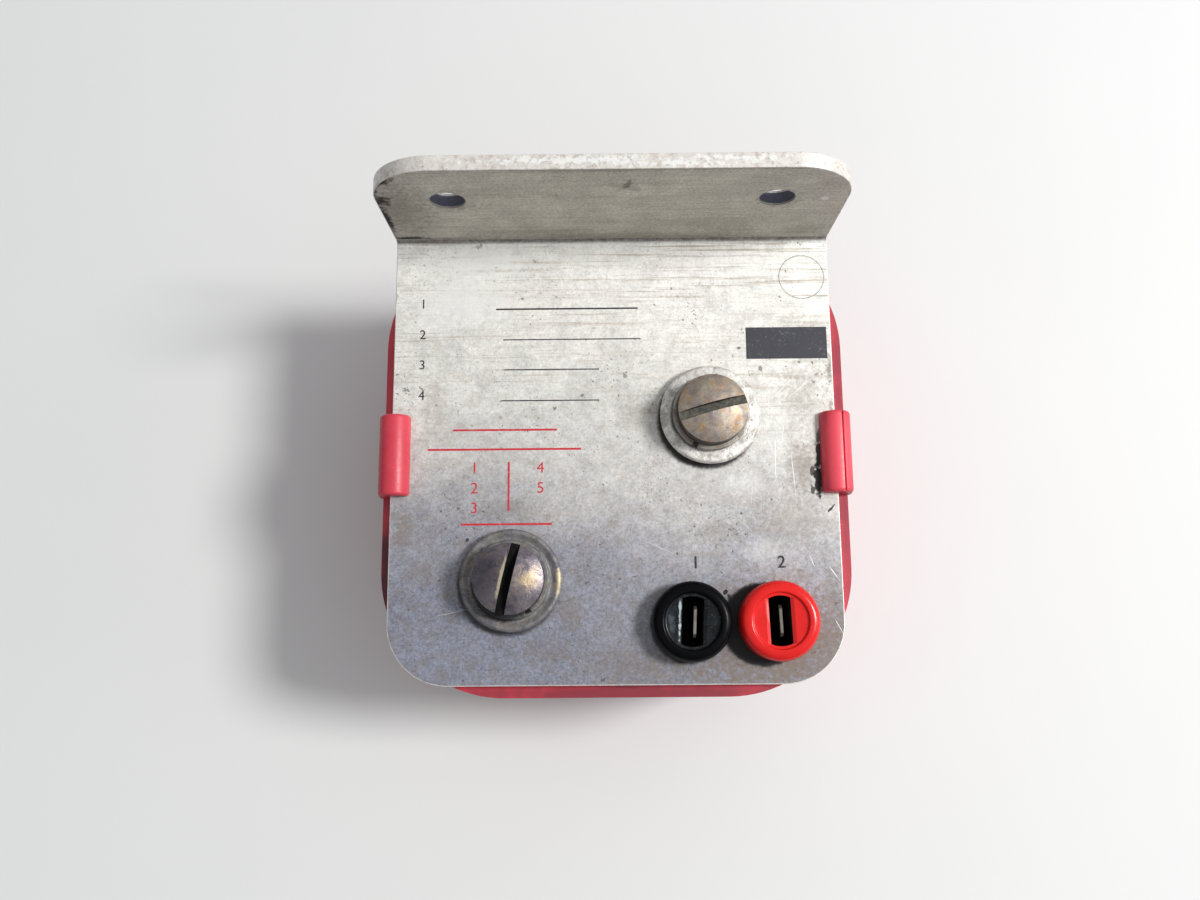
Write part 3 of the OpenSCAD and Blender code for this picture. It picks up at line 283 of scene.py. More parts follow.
# Object coordinates in millimetres, stretched and turned for one pattern
def spots(tree, stretch=(1, 1, 1), turn=0, shift=(0, 0, 0)):
    where = addNode(tree, "ShaderNodeTexCoord", {}, {}).outputs["Object"]
    if turn:
        values = {"Vector": where, "Rotation": (0, 0, math.radians(-turn))}
        where = addNode(tree, "ShaderNodeMapping", {}, values).outputs["Vector"]
    values = {"Vector": where, "Location": shift, "Scale": [part / mm for part in stretch]}
    return addNode(tree, "ShaderNodeMapping", {}, values).outputs["Vector"]


def noise(tree, where, scale, detail=4, rough=0.55, bend=0):
    values = {"Vector": where, "Scale": scale, "Detail": detail, "Roughness": rough, "Distortion": bend}
    return addNode(tree, "ShaderNodeTexNoise", {}, values).outputs["Fac"]


def shiftedNoise(tree, shift, scale, detail=4, rough=0.55, bend=0):
    return noise(tree, spots(tree, (1, 1, 1), 0, shift), scale, detail, rough, bend)


# Takes a value from one range to another and holds it there
def remap(tree, value, fromLow, fromHigh, toLow=0, toHigh=1, smooth=False):
    values = {"Value": value, "From Min": fromLow, "From Max": fromHigh, "To Min": toLow, "To Max": toHigh}
    settings = {"interpolation_type": "SMOOTHSTEP"} if smooth else {}
    return addNode(tree, "ShaderNodeMapRange", settings, values).outputs["Result"]


def calc(tree, operation, first, second=0.0):
    made = addNode(tree, "ShaderNodeMath", {"operation": operation}, {0: first, 1: second})
    return made.outputs["Value"]


def times(tree, first, second):
    return calc(tree, "MULTIPLY", first, second)


# Blends two colours, each the output of a node or three values from 0 to 255
def blendColour(tree, share, first, second, how="MIX"):
    first, second = [shade(*part) if isinstance(part, tuple) else part for part in (first, second)]
    made = addNode(
        tree, "ShaderNodeMix", {"data_type": "RGBA", "blend_type": how}, {0: share, 6: first, 7: second})
    return made.outputs[2]


def splitAxes(tree, where):
    made = addNode(tree, "ShaderNodeSeparateXYZ", {}, {"Vector": where})
    return made.outputs["X"], made.outputs["Y"], made.outputs["Z"]


def addBump(tree, height, strength, distance, under=None):
    values = {"Height": height, "Strength": strength, "Distance": distance}
    if under:
        values["Normal"] = under
    return addNode(tree, "ShaderNodeBump", {}, values).outputs["Normal"]


def startMaterial(name):
    material = bpy.data.materials.new(name)
    material.use_nodes = True
    tree = material.node_tree
    return material, tree, tree.nodes["Principled BSDF"]


# A colour for each share along a row of stops
def rampColour(tree, share, stops):
    made = addNode(tree, "ShaderNodeValToRGB", {}, {"Fac": share})
    marks = made.color_ramp.elements
    marks[0].position, marks[0].color = stops[0][0], shade(*stops[0][1])
    marks[1].position, marks[1].color = stops[-1][0], shade(*stops[-1][1])
    for position, colour in stops[1:-1]:
        marks.new(position).color = shade(*colour)
    return made.outputs["Color"]


# A soft patch round a place, both in millimetres, with its edge made ragged
def patchShare(tree, middle, halves, turn, ragged, edge):
    source = addNode(tree, "ShaderNodeTexCoord", {}, {}).outputs["Object"]
    values = {
        "Vector": source, "Location": [part * mm for part in middle],
        "Rotation": [math.radians(part) for part in turn], "Scale": [2 * part * mm for part in halves]}
    where = addNode(tree, "ShaderNodeMapping", {"vector_type": "TEXTURE"}, values).outputs["Vector"]
    # one at the middle, a half at the patch's edge and zero a patch's size outside it
    ball = addNode(tree, "ShaderNodeTexGradient", {"gradient_type": "SPHERICAL"}, {"Vector": where})
    nearness = calc(tree, "SUBTRACT", ball.outputs["Fac"], ragged)
    return remap(tree, nearness, 0.5, 0.5 + edge / 2, 0, 1, True)


# The strongest of several shares at every place
def strongest(tree, shares):
    result = shares[0]
    for share in shares[1:]:
        result = calc(tree, "MAXIMUM", result, share)
    return result


# All the marks of one tint together
def marksShare(tree, marks, ragged, tear, edge):
    torn = times(tree, ragged, tear / 2)
    shares = []
    for middle, halves, strength, *turn in marks:
        patch = patchShare(tree, middle, halves, turn or (0, 0, 0), torn, edge)
        shares.append(times(tree, patch, strength))
    return strongest(tree, shares)


# Draws groups of marks over a colour: the tint, edge and tear of a group, and its marks
def drawMarks(tree, colour, groups, ragged):
    for tint, edge, tear, marks in groups:
        colour = blendColour(tree, marksShare(tree, marks, ragged, tear, edge), colour, tint)
    return colour


# Makes a colour lighter and darker by a level round one
def withLevel(tree, colour, level):
    grey = addNode(tree, "ShaderNodeCombineColor", {}, {0: level, 1: level, 2: level}).outputs["Color"]
    return blendColour(tree, 1, colour, grey, "MULTIPLY")


# Small round specks, in some of the cells of one size
def withSpecks(tree, colour, where, size, reach, rarity, share, tint):
    cells = addNode(tree, "ShaderNodeTexVoronoi", {}, {"Vector": where, "Scale": size, "Randomness": 1})
    chance = addNode(tree, "ShaderNodeSeparateColor", {}, {"Color": cells.outputs["Color"]}).outputs["Red"]
    speck = remap(tree, cells.outputs["Distance"], *reach)
    speck = times(tree, speck, calc(tree, "GREATER_THAN", chance, rarity))
    return blendColour(tree, times(tree, speck, share), colour, tint)


# Dark pits and specks of several sizes, thick in some patches
def pitsShare(tree, pits):
    shares = []
    for size, level, shift in pits:
        where = spots(tree, (1, 1, 1), 0, (shift, shift, 0))
        patch = remap(tree, noise(tree, where, 0.07, 3, 0.6), 0.35, 0.65, -0.06, 0.06)
        speck = calc(tree, "ADD", noise(tree, where, size, 3, 0.6), patch)
        shares.append(remap(tree, speck, level, level + 0.035, 0, 1))
    return strongest(tree, shares)


# Fine scratches in a few directions, broken into stretches
def scratchShare(tree, scratches):
    shares = []
    for turn, shift, thin in scratches:
        lines = noise(tree, spots(tree, (0.035, 1.6, 1), turn, (shift, shift, 0)), 1, 2, 0.5)
        line = remap(tree, calc(tree, "ABSOLUTE", calc(tree, "SUBTRACT", lines, 0.5)), thin, 0, 0, 1)
        patch = shiftedNoise(tree, (shift, 5, 0), 0.12, 3, 0.6)
        shares.append(times(tree, line, remap(tree, patch, 0.5, 0.6, 0, 1)))
    return strongest(tree, shares)


# Worn aluminium sheet: warm and bright by the fold, cooler and darker down and to the left, partly tarnish
# and partly painted light falling off, with a grain across, pits, marks and scratches
def sheetFinish(values):
    material, tree, shader = startMaterial(values["name"])
    where = spots(tree)
    across, along, up = splitAxes(tree, where)
    # how far down the plate a spot lies, and how far to its left; the ramp of tones along it is partly
    # tarnish and partly painted light falloff
    broad = noise(tree, where, 0.05, 4, 0.6)
    down = calc(tree, "SUBTRACT", times(tree, across, -values["lean"]), along)
    down = calc(tree, "ADD", down, remap(tree, broad, 0.25, 0.75, -8, 8))
    colour = rampColour(tree, remap(tree, down, 0, values["reach"]), values["tones"])
    # cloudy tarnish, brown streaks along the grain near the fold, and a fine grit all over
    cloud = shiftedNoise(tree, (7, 3, 0), 0.2, 8, 0.7, 0.5)
    colour = blendColour(tree, remap(tree, cloud, 0.46, 0.7, 0, values["cloud"]), colour, values["dull"])
    grain = noise(tree, spots(tree, (0.05, 1.9, 1.9)), 1.2, 5, 0.7)
    topShare = remap(tree, down, 6, 38, 1, 0.12)
    streak = times(tree, remap(tree, grain, 0.52, 0.68, 0, values["streak"]), topShare)
    colour = blendColour(tree, streak, colour, values["stain"])
    grit = shiftedNoise(tree, (5, 9, 2), 2.4, 5, 0.78)
    mottle = shiftedNoise(tree, (2, 6, 1), 0.55, 6, 0.7)
    strength = remap(tree, down, 34, 64, values["grit"], values["lowGrit"])
    fineLevel = times(tree, remap(tree, grit, 0.25, 0.75, -1, 1), strength)
    broadLevel = remap(tree, mottle, 0.25, 0.75, 1 - values["mottle"], 1 + values["mottle"])
    level = calc(tree, "ADD", fineLevel, broadLevel)
    colour = withLevel(tree, colour, level)
    brown = shiftedNoise(tree, (3, 44, 6), 0.5, 9, 0.72)
    brownShare = remap(tree, brown, 0.47, 0.66, 0, values["brown"])
    brownShare = times(tree, brownShare, remap(tree, down, 10, 34, 0.35, 1))
    colour = blendColour(tree, brownShare, colour, values["stain"])
    lowBrown = remap(tree, brown, 0.44, 0.68, 0, values["lowBrown"])
    lowBrown = times(tree, lowBrown, remap(tree, down, 42, 60, 0, 1))
    colour = blendColour(tree, lowBrown, colour, values["lowStain"])
    pits = pitsShare(tree, values["pits"])
    colour = blendColour(tree, times(tree, pits, values["pitShare"]), colour, values["pit"])
    lines = scratchShare(tree, values["scratches"])
    lineShare = times(tree, lines, remap(tree, across, -20, 26, 0.06, values["scratchShare"]))
    lineShare = times(tree, lineShare, remap(tree, along, -60, -44, 0.35, 1))
    colour = blendColour(tree, lineShare, colour, values["bright"])
    # the marks, each where it lies on the plate or on the flange: marks of use, and painted shadows, painted
    # shade and painted light among them
    torn = shiftedNoise(tree, (17, 2, 8), 1.4, 3, 0.5)
    ragged = remap(tree, torn, 0.25, 0.75, -1, 1)
    colour = drawMarks(tree, colour, values["marks"], ragged)
    # the upright flange is duller and darker towards the fold, and along the fold lies a dark band of dirt
    # and painted shade in the crease
    upright = remap(tree, up, values["foldHeight"] - 0.5, values["foldHeight"] + 0.7, 0, 1, True)
    cloudy = remap(tree, cloud, 0.3, 0.7, -0.24, 0.24)
    level = calc(tree, "ADD", remap(tree, grit, 0.25, 0.75, 0.52, 1.48), cloudy)
    level = calc(tree, "ADD", level, remap(tree, grain, 0.3, 0.7, -0.16, 0.16))
    rise = remap(tree, up, values["foldHeight"], values["foldHeight"] + 20, 0.84, 1.08)
    level = times(tree, level, rise)
    flangeColour = withLevel(tree, values["flange"], level)
    flangeColour = drawMarks(tree, flangeColour, values["flangeMarks"], ragged)
    colour = blendColour(tree, upright, colour, flangeColour)
    away = calc(tree, "ABSOLUTE", calc(tree, "SUBTRACT", up, values["foldHeight"]))
    inside = remap(tree, along, values["foldPlace"] - 2.2, values["foldPlace"] - 1.6, 0, 1)
    outside = remap(tree, along, values["foldPlace"] + 0.3, values["foldPlace"] + 0.9, 1, 0)
    inside = times(tree, inside, outside)
    # the dark band along the fold: dirt and painted shade in the crease
    dirt = times(tree, remap(tree, away, 0.6, 0.15, 0, 1, True), inside)
    uneven = remap(tree, torn, 0.35, 0.6, values["foldDirtAndShade"], values["foldDirtAndShade"] * 0.75)
    colour = blendColour(tree, times(tree, dirt, uneven), colour, values["pit"])
    tree.links.new(colour, shader.inputs["Base Color"])
    rough = calc(tree, "ADD", remap(tree, cloud, 0.3, 0.7, 0.44, 0.6), times(tree, pits, 0.2))
    tree.links.new(rough, shader.inputs["Roughness"])
    shader.inputs["Metallic"].default_value = values["metal"]
    fine = addBump(tree, calc(tree, "ADD", times(tree, grain, 0.4), grit), 0.22, 0.05 * mm)
    dents = addBump(tree, broad, 0.2, 0.3 * mm, fine)
    height = calc(tree, "SUBTRACT", 1, pits)
    tree.links.new(addBump(tree, height, 0.4, 0.06 * mm, dents), shader.inputs["Normal"])
    return material


# Metal with tarnish clouds, fine grit and small dark specks
def metalFinish(values):
    material, tree, shader = startMaterial(values["name"])
    where = spots(tree, (1, 1, 1), 0, values.get("shift", (0, 0, 0)))
    cloud = noise(tree, where, values.get("cloudSize", 0.35), 7, 0.65, 0.5)
    colour = blendColour(tree, remap(tree, cloud, 0.36, 0.62, 0, 1), values["colour"], values["tarnish"])
    if "patch" in values:
        patch = shiftedNoise(tree, (13, 21, 4), values.get("patchSize", 0.5), 5, 0.6, 0.8)
        share = remap(tree, patch, 0.5, 0.66, 0, values.get("patchShare", 0.7))
        colour = blendColour(tree, share, colour, values["patch"])
    grit = noise(tree, where, values.get("gritSize", 5), 5, 0.75)
    light = remap(tree, grit, 0.25, 0.75, 1 - values.get("grit", 0.14), 1 + values.get("grit", 0.14))
    colour = withLevel(tree, colour, light)
    speckSize = values.get("speckSize", 1.6)
    speck = values.get("speck", 0.5)
    colour = withSpecks(tree, colour, where, speckSize, (0.2, 0.06), 0.6, speck, values["dark"])
    ragged = remap(tree, cloud, 0.35, 0.65, -1, 1)
    # marks, among them painted shadows and painted highlights on the screws and washers
    colour = drawMarks(tree, colour, values.get("marks", ()), ragged)
    tree.links.new(colour, shader.inputs["Base Color"])
    low, high = values["rough"]
    tree.links.new(remap(tree, cloud, 0.3, 0.7, low, high), shader.inputs["Roughness"])
    shader.inputs["Metallic"].default_value = values["metal"]
    fine = addBump(tree, grit, values.get("bump", 0.3), 0.04 * mm)
    tree.links.new(addBump(tree, cloud, values.get("bump", 0.3), 0.2 * mm, fine), shader.inputs["Normal"])
    return material


# Moulded plastic or rubber: a slightly uneven colour, dust, marks with painted highlights and painted shade
# among them, and a moulded skin
def plasticFinish(values):
    material, tree, shader = startMaterial(values["name"])
    where = spots(tree, (1, 1, 1), 0, values.get("shift", (0, 0, 0)))
    cloud = noise(tree, where, values.get("cloudSize", 0.12), 6, 0.62, 0.4)
    colour = blendColour(tree, remap(tree, cloud, 0.35, 0.65, 0, 1), values["colour"], values["second"])
    skin = noise(tree, where, values.get("skinSize", 3.2), 4, 0.7)
    dust = noise(tree, where, values.get("dustSize", 0.9), 9, 0.8)
    colour = blendColour(tree, remap(tree, dust, 0.55, 0.74, 0, values["dustShare"]), colour, values["dust"])
    speck = values.get("speck", 0.4)
    colour = withSpecks(tree, colour, where, 0.75, (0.12, 0.03), 0.7, speck, values["dark"])
    ragged = remap(tree, cloud, 0.35, 0.65, -1, 1)
    colour = drawMarks(tree, colour, values.get("marks", ()), ragged)
    tree.links.new(colour, shader.inputs["Base Color"])
    low, high = values["rough"]
    tree.links.new(remap(tree, skin, 0.3, 0.7, low, high), shader.inputs["Roughness"])
    shader.inputs["Specular IOR Level"].default_value = values.get("gloss", 0.5)
    tree.links.new(addBump(tree, skin, values.get("bump", 0.15), 0.04 * mm), shader.inputs["Normal"])
    return material


# Printed ink, rubbed through in places to the metal under it
def inkFinish(values):
    material, tree, shader = startMaterial(values["name"])
    worn = shiftedNoise(tree, values["shift"], 1.7, 6, 0.75)
    wide = shiftedNoise(tree, values["shift"], 0.14, 3, 0.6)
    share = remap(tree, calc(tree, "ADD", worn, remap(tree, wide, 0.35, 0.65, -0.06, 0.06)), *values["worn"])
    colour = blendColour(tree, share, values["colour"], values["under"])
    tree.links.new(colour, shader.inputs["Base Color"])
    tree.links.new(remap(tree, worn, 0.3, 0.7, 0.45, 0.7), shader.inputs["Roughness"])
    shader.inputs["Metallic"].default_value = 0.2
    return material


shearedEdge = metalFinish({
    "name": "sheared_edge", "colour": (240, 236, 228), "tarnish": (220, 214, 206),
    "dark": (120, 110, 100), "rough": (0.34, 0.5), "metal": 0.3, "cloudSize": 1.1, "bump": 0.3,
    "speck": 0.5, "speckSize": 1.2, "patch": (170, 146, 128), "patchSize": 1.1, "patchShare": 0.5,
    "marks": (
        # darker round the two flange holes, in keeping with the painted shade in their walls
        ((112, 108, 104), 0.1, 0, (
            ((24.3, -1.1, 0), (3.4, 2.4, 3.4), 0.9),
            ((-24.3, -1.1, 0), (3.4, 2.4, 3.4), 0.9))),
        # painted highlight: bright dashes along the flange's top edge
        ((255, 254, 250), 0.5, 1, (
            ((-6, -0.9, 10), (12, 0.5, 3), 0.7), ((8, -1.5, 10), (9, 0.4, 3), 0.6),
            ((17, -0.8, 10), (8, 0.4, 3), 0.6))))})
# the upper screw's slot: grime and painted shade
slotGrimeAndShade = metalFinish({
    "name": "slot_grime_and_shade", "colour": (104, 101, 90), "tarnish": (56, 53, 47),
    "dark": (20, 18, 16), "rough": (0.55, 0.75), "metal": 0.2, "cloudSize": 0.9, "bump": 0.5,
    "gritSize": 3, "grit": 0.4})
headSide = metalFinish({
    "name": "head_side", "colour": (84, 78, 70), "tarnish": (52, 48, 44),
    "dark": (20, 18, 17), "rough": (0.5, 0.66), "metal": 0.5, "cloudSize": 0.6, "bump": 0.5})
# the lower screw's slot: near black, painted shade
slotPaintedShade = metalFinish({
    "name": "slot_painted_shade", "colour": (14, 13, 12), "tarnish": (7, 6, 6),
    "dark": (3, 3, 3), "rough": (0.7, 0.9), "metal": 0.6, "cloudSize": 0.8, "bump": 0.5})
# the walls of the insulators' plug slots: near black, painted shade deep in the slot
borePaintedShade = plasticFinish({
    "name": "bore_painted_shade", "colour": (20, 11, 11), "second": (13, 9, 9),
    "dust": (52, 40, 38), "dark": (4, 4, 4), "dustShare": 0.15, "rough": (0.5, 0.7),
    "gloss": 0.25})
redMoulding = plasticFinish({
    "name": "red_moulding", "colour": (218, 66, 82), "second": (202, 56, 72),
    "dust": (206, 120, 124), "dark": (70, 30, 32), "dustShare": 0.3, "rough": (0.34, 0.5),
    "skinSize": 2.4, "bump": 0.22,
    # painted shadow of the plate on the left rim strip, painted shade on the bottom and right strips, and
    # painted light on the right hook
    "marks": (
        ((64, 22, 34), 0.8, 0.3, (((-35.8, -57.5, -18.3), (1.8, 16, 4), 0.9),)),
        ((104, 36, 48), 0.8, 0.3, (
            ((0, -74.3, -18.3), (44, 2, 4), 0.75),
            ((36.3, -38, -18.3), (1.8, 40, 4), 0.65))),
        ((246, 84, 98), 0.5, 0.1, (((34.6, -37.6, -13), (4.2, 8, 3.4), 0.8),)))})
redInsulator = plasticFinish({
    "name": "red_insulator", "colour": (226, 32, 28), "second": (214, 27, 25),
    "dust": (238, 110, 100), "dark": (110, 20, 18), "dustShare": 0.12, "rough": (0.16, 0.28),
    "skinSize": 1.6, "bump": 0.1, "speck": 0.2, "gloss": 0.36,
    # a painted highlight along the slot's left chamfer
    "marks": (
        ((255, 146, 128), 0.5, 0.5, (((22.72, -62.4, -10), (0.22, 2, 9), 0.6, 0, 0, 2),)),)})
blackInsulator = plasticFinish({
    "name": "black_insulator", "colour": (6, 6, 8), "second": (10, 10, 13),
    "dust": (92, 98, 106), "dark": (5, 5, 6), "dustShare": 0.025, "rough": (0.2, 0.34),
    "skinSize": 1.6, "dustSize": 1.1, "bump": 0.14, "shift": (50, 0, 0), "gloss": 0.08})
# the sunk face of the black insulator: dust and a painted sheen
dustAndSheenInsulator = plasticFinish({
    "name": "black_dust_and_sheen", "colour": (11, 12, 14), "second": (30, 34, 38),
    "dust": (122, 134, 136), "dark": (6, 6, 7), "dustShare": 0.45, "rough": (0.2, 0.36),
    "skinSize": 1.6, "dustSize": 1.3, "cloudSize": 0.6, "bump": 0.2, "shift": (50, 0, 0), "gloss": 0.22,
    # painted highlights along the slot's left chamfer, and a painted reflection on the sunk face left of the
    # slot
    "marks": (
        ((176, 188, 190), 0.5, 0.5, (
            ((9.62, -62, -10), (0.24, 1.7, 9), 0.8, 0, 0, -3),
            ((9.5, -65.4, -10), (0.24, 1.5, 9), 0.9, 0, 0, -3))),
        ((96, 106, 110), 0.8, 0.4, (((8.3, -63.6, -10), (0.7, 2.7, 9), 0.5),)))})
blackRubber = plasticFinish({
    "name": "rubber_black", "colour": (30, 29, 29), "second": (40, 38, 37),
    "dust": (110, 104, 96), "dark": (12, 12, 12), "dustShare": 0.25, "rough": (0.6, 0.8),
    "gloss": 0.3, "skinSize": 3.5, "bump": 0.3})
tarnishedScrew = metalFinish({
    "name": "steel_tarnished", "colour": (184, 172, 152), "tarnish": (136, 127, 125),
    "patch": (186, 138, 78), "patchSize": 0.75, "patchShare": 0.6, "dark": (52, 44, 40),
    "rough": (0.42, 0.6), "metal": 0.6, "cloudSize": 0.5, "bump": 0.5, "gritSize": 4, "grit": 0.24})
greyScrew = metalFinish({
    "name": "steel_grey", "colour": (136, 128, 132), "tarnish": (82, 76, 90),
    "patch": (168, 150, 116), "patchSize": 0.6, "patchShare": 0.3, "dark": (30, 27, 27),
    "rough": (0.34, 0.54), "metal": 0.75, "cloudSize": 0.42, "bump": 0.6, "gritSize": 3,
    "shift": (9, 4, 1), "grit": 0.3,
    # painted shade on the dome's left, a yellow patch on its right that is tarnish and painted highlight,
    # and a painted highlight along the slot's left wall
    "marks": (
        ((62, 58, 72), 0.9, 0.35, (((-19.2, -56.6, -10), (2.8, 4.6, 9), 0.6, 0, 0, -13),)),
        ((168, 146, 104), 0.95, 0.4, (((-12.9, -57.4, -10), (2.1, 2.8, 9), 0.62),)),
        ((214, 198, 172), 0.5, 0.3, (((-16.8, -57, -10), (0.34, 3.9, 9), 0.85, 0, 0, -13),)))})
brightWasher = metalFinish({
    "name": "steel_zinc", "colour": (248, 245, 238), "tarnish": (190, 184, 178),
    "patch": (132, 122, 110), "patchSize": 1.5, "patchShare": 0.42, "dark": (70, 62, 56),
    "rough": (0.36, 0.56), "metal": 0.4, "cloudSize": 0.6, "bump": 0.7, "gritSize": 2.6, "grit": 0.26,
    "speckSize": 1.1, "speck": 0.85,
    # painted shadow: a dark disc round the upper screw's head, shifted to the lower left
    "marks": (
        ((44, 40, 37), 0.08, 0.03, (((14.6, -31.8, -14), (6, 6, 9), 0.85),)),)})
lockFinish = metalFinish({
    "name": "steel_lock", "colour": (186, 180, 170), "tarnish": (136, 128, 118),
    "dark": (60, 54, 50), "rough": (0.34, 0.52), "metal": 0.6, "cloudSize": 0.5, "bump": 0.4,
    "gritSize": 4,
    # painted shadow round the upper screw's head
    "marks": (
        ((26, 23, 22), 0.12, 0.03, (((14.85, -31.5, -14), (5.5, 5.5, 9), 0.95),)),)})
dullWasher = metalFinish({
    "name": "steel_dull", "colour": (142, 139, 138), "tarnish": (104, 102, 106),
    "patch": (156, 142, 120), "patchSize": 0.5, "patchShare": 0.4, "dark": (50, 47, 46),
    "rough": (0.42, 0.6), "metal": 0.45, "cloudSize": 0.7, "bump": 0.6, "gritSize": 3.2, "grit": 0.3,
    # painted shadow round the lower screw's head, shifted to the lower left, and a painted glint on the
    # washer's right rim
    "marks": (
        ((24, 23, 26), 0.14, 0.06, (((-16.6, -58.2, -14), (5.6, 5.6, 9), 0.9),)),
        ((226, 206, 164), 0.8, 0.3, (((-8.6, -57.2, -14), (0.7, 2.6, 9), 0.7),)))})
brassFinish = metalFinish({
    "name": "brass", "colour": (206, 178, 120), "tarnish": (168, 140, 92),
    "dark": (92, 74, 46), "rough": (0.25, 0.42), "metal": 0.9, "cloudSize": 0.3})
bladeFinish = metalFinish({
    "name": "blade_tinned", "colour": (240, 232, 214), "tarnish": (214, 202, 180),
    "dark": (120, 104, 80), "rough": (0.25, 0.4), "metal": 0.4, "cloudSize": 0.5, "bump": 0.2})
bladeTarnishAndShade = metalFinish({
    "name": "blade_tarnish_and_shade", "colour": (84, 74, 58), "tarnish": (58, 50, 40),
    "dark": (24, 20, 16), "rough": (0.45, 0.6), "metal": 0.6, "cloudSize": 0.5})
springFinish = metalFinish({
    "name": "spring_steel", "colour": (168, 170, 176), "tarnish": (128, 128, 138),
    "dark": (70, 66, 64), "rough": (0.22, 0.36), "metal": 0.9, "cloudSize": 0.25, "bump": 0.2})
ironFinish = metalFinish({
    "name": "magnet_iron", "colour": (120, 120, 124), "tarnish": (92, 90, 92),
    "patch": (118, 90, 66), "patchShare": 0.35, "dark": (44, 38, 34), "rough": (0.4, 0.6),
    "metal": 0.75, "cloudSize": 0.2, "bump": 0.5})
silverFinish = metalFinish({
    "name": "silver_tungsten", "colour": (206, 206, 204), "tarnish": (150, 146, 148),
    "dark": (60, 58, 60), "rough": (0.3, 0.5), "metal": 0.9, "cloudSize": 0.9})
tinnedFinish = metalFinish({
    "name": "tinned_can", "colour": (198, 198, 194), "tarnish": (162, 162, 160),
    "dark": (96, 92, 88), "rough": (0.24, 0.4), "metal": 0.85, "cloudSize": 0.14, "bump": 0.2})
phenolicFinish = plasticFinish({
    "name": "phenolic", "colour": (128, 84, 50), "second": (108, 68, 40),
    "dust": (156, 118, 82), "dark": (58, 36, 22), "dustShare": 0.35, "rough": (0.4, 0.55),
    "skinSize": 5, "cloudSize": 0.5})
copperFinish = plasticFinish({
    "name": "enamelled_copper", "colour": (150, 70, 36), "second": (120, 50, 26),
    "dust": (196, 124, 84), "dark": (60, 26, 14), "dustShare": 0.3, "rough": (0.2, 0.34),
    "skinSize": 2, "cloudSize": 0.6, "bump": 0.1})
wireFinishes = {}
for wire, first, second in (
        ("red_wire", (176, 40, 36), (150, 30, 28)), ("black_wire", (34, 32, 32), (24, 23, 24)),
        ("natural_wire", (196, 180, 142), (176, 158, 120))):
    wireFinishes[wire] = plasticFinish({
        "name": wire, "colour": first, "second": second, "dust": (190, 180, 168),
        "dark": (40, 34, 30), "dustShare": 0.15, "rough": (0.4, 0.55), "skinSize": 4})
print("materials made:", len(bpy.data.materials))


# Bracket: a sheet folded into a face plate and a flange, sheared, drilled and worn
bracket = {
    "sheet": 2.29 * mm, "bendRadius": 1.2 * mm, "plateCorner": 9.5 * mm, "flangeCorner": 9.5 * mm,
    "flangeHole": 2.6 * mm, "flangeHoleX": 24.3 * mm, "grommetHole": 5.5 * mm, "insulatorHole": 4.85 * mm,
    "softEdge": 0.3 * mm, "overrun": 1 * mm}
plateLow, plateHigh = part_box("mounting_plate")
front = plateLow.z + bracket["sheet"]
flangeInner = plateHigh.y - bracket["sheet"]
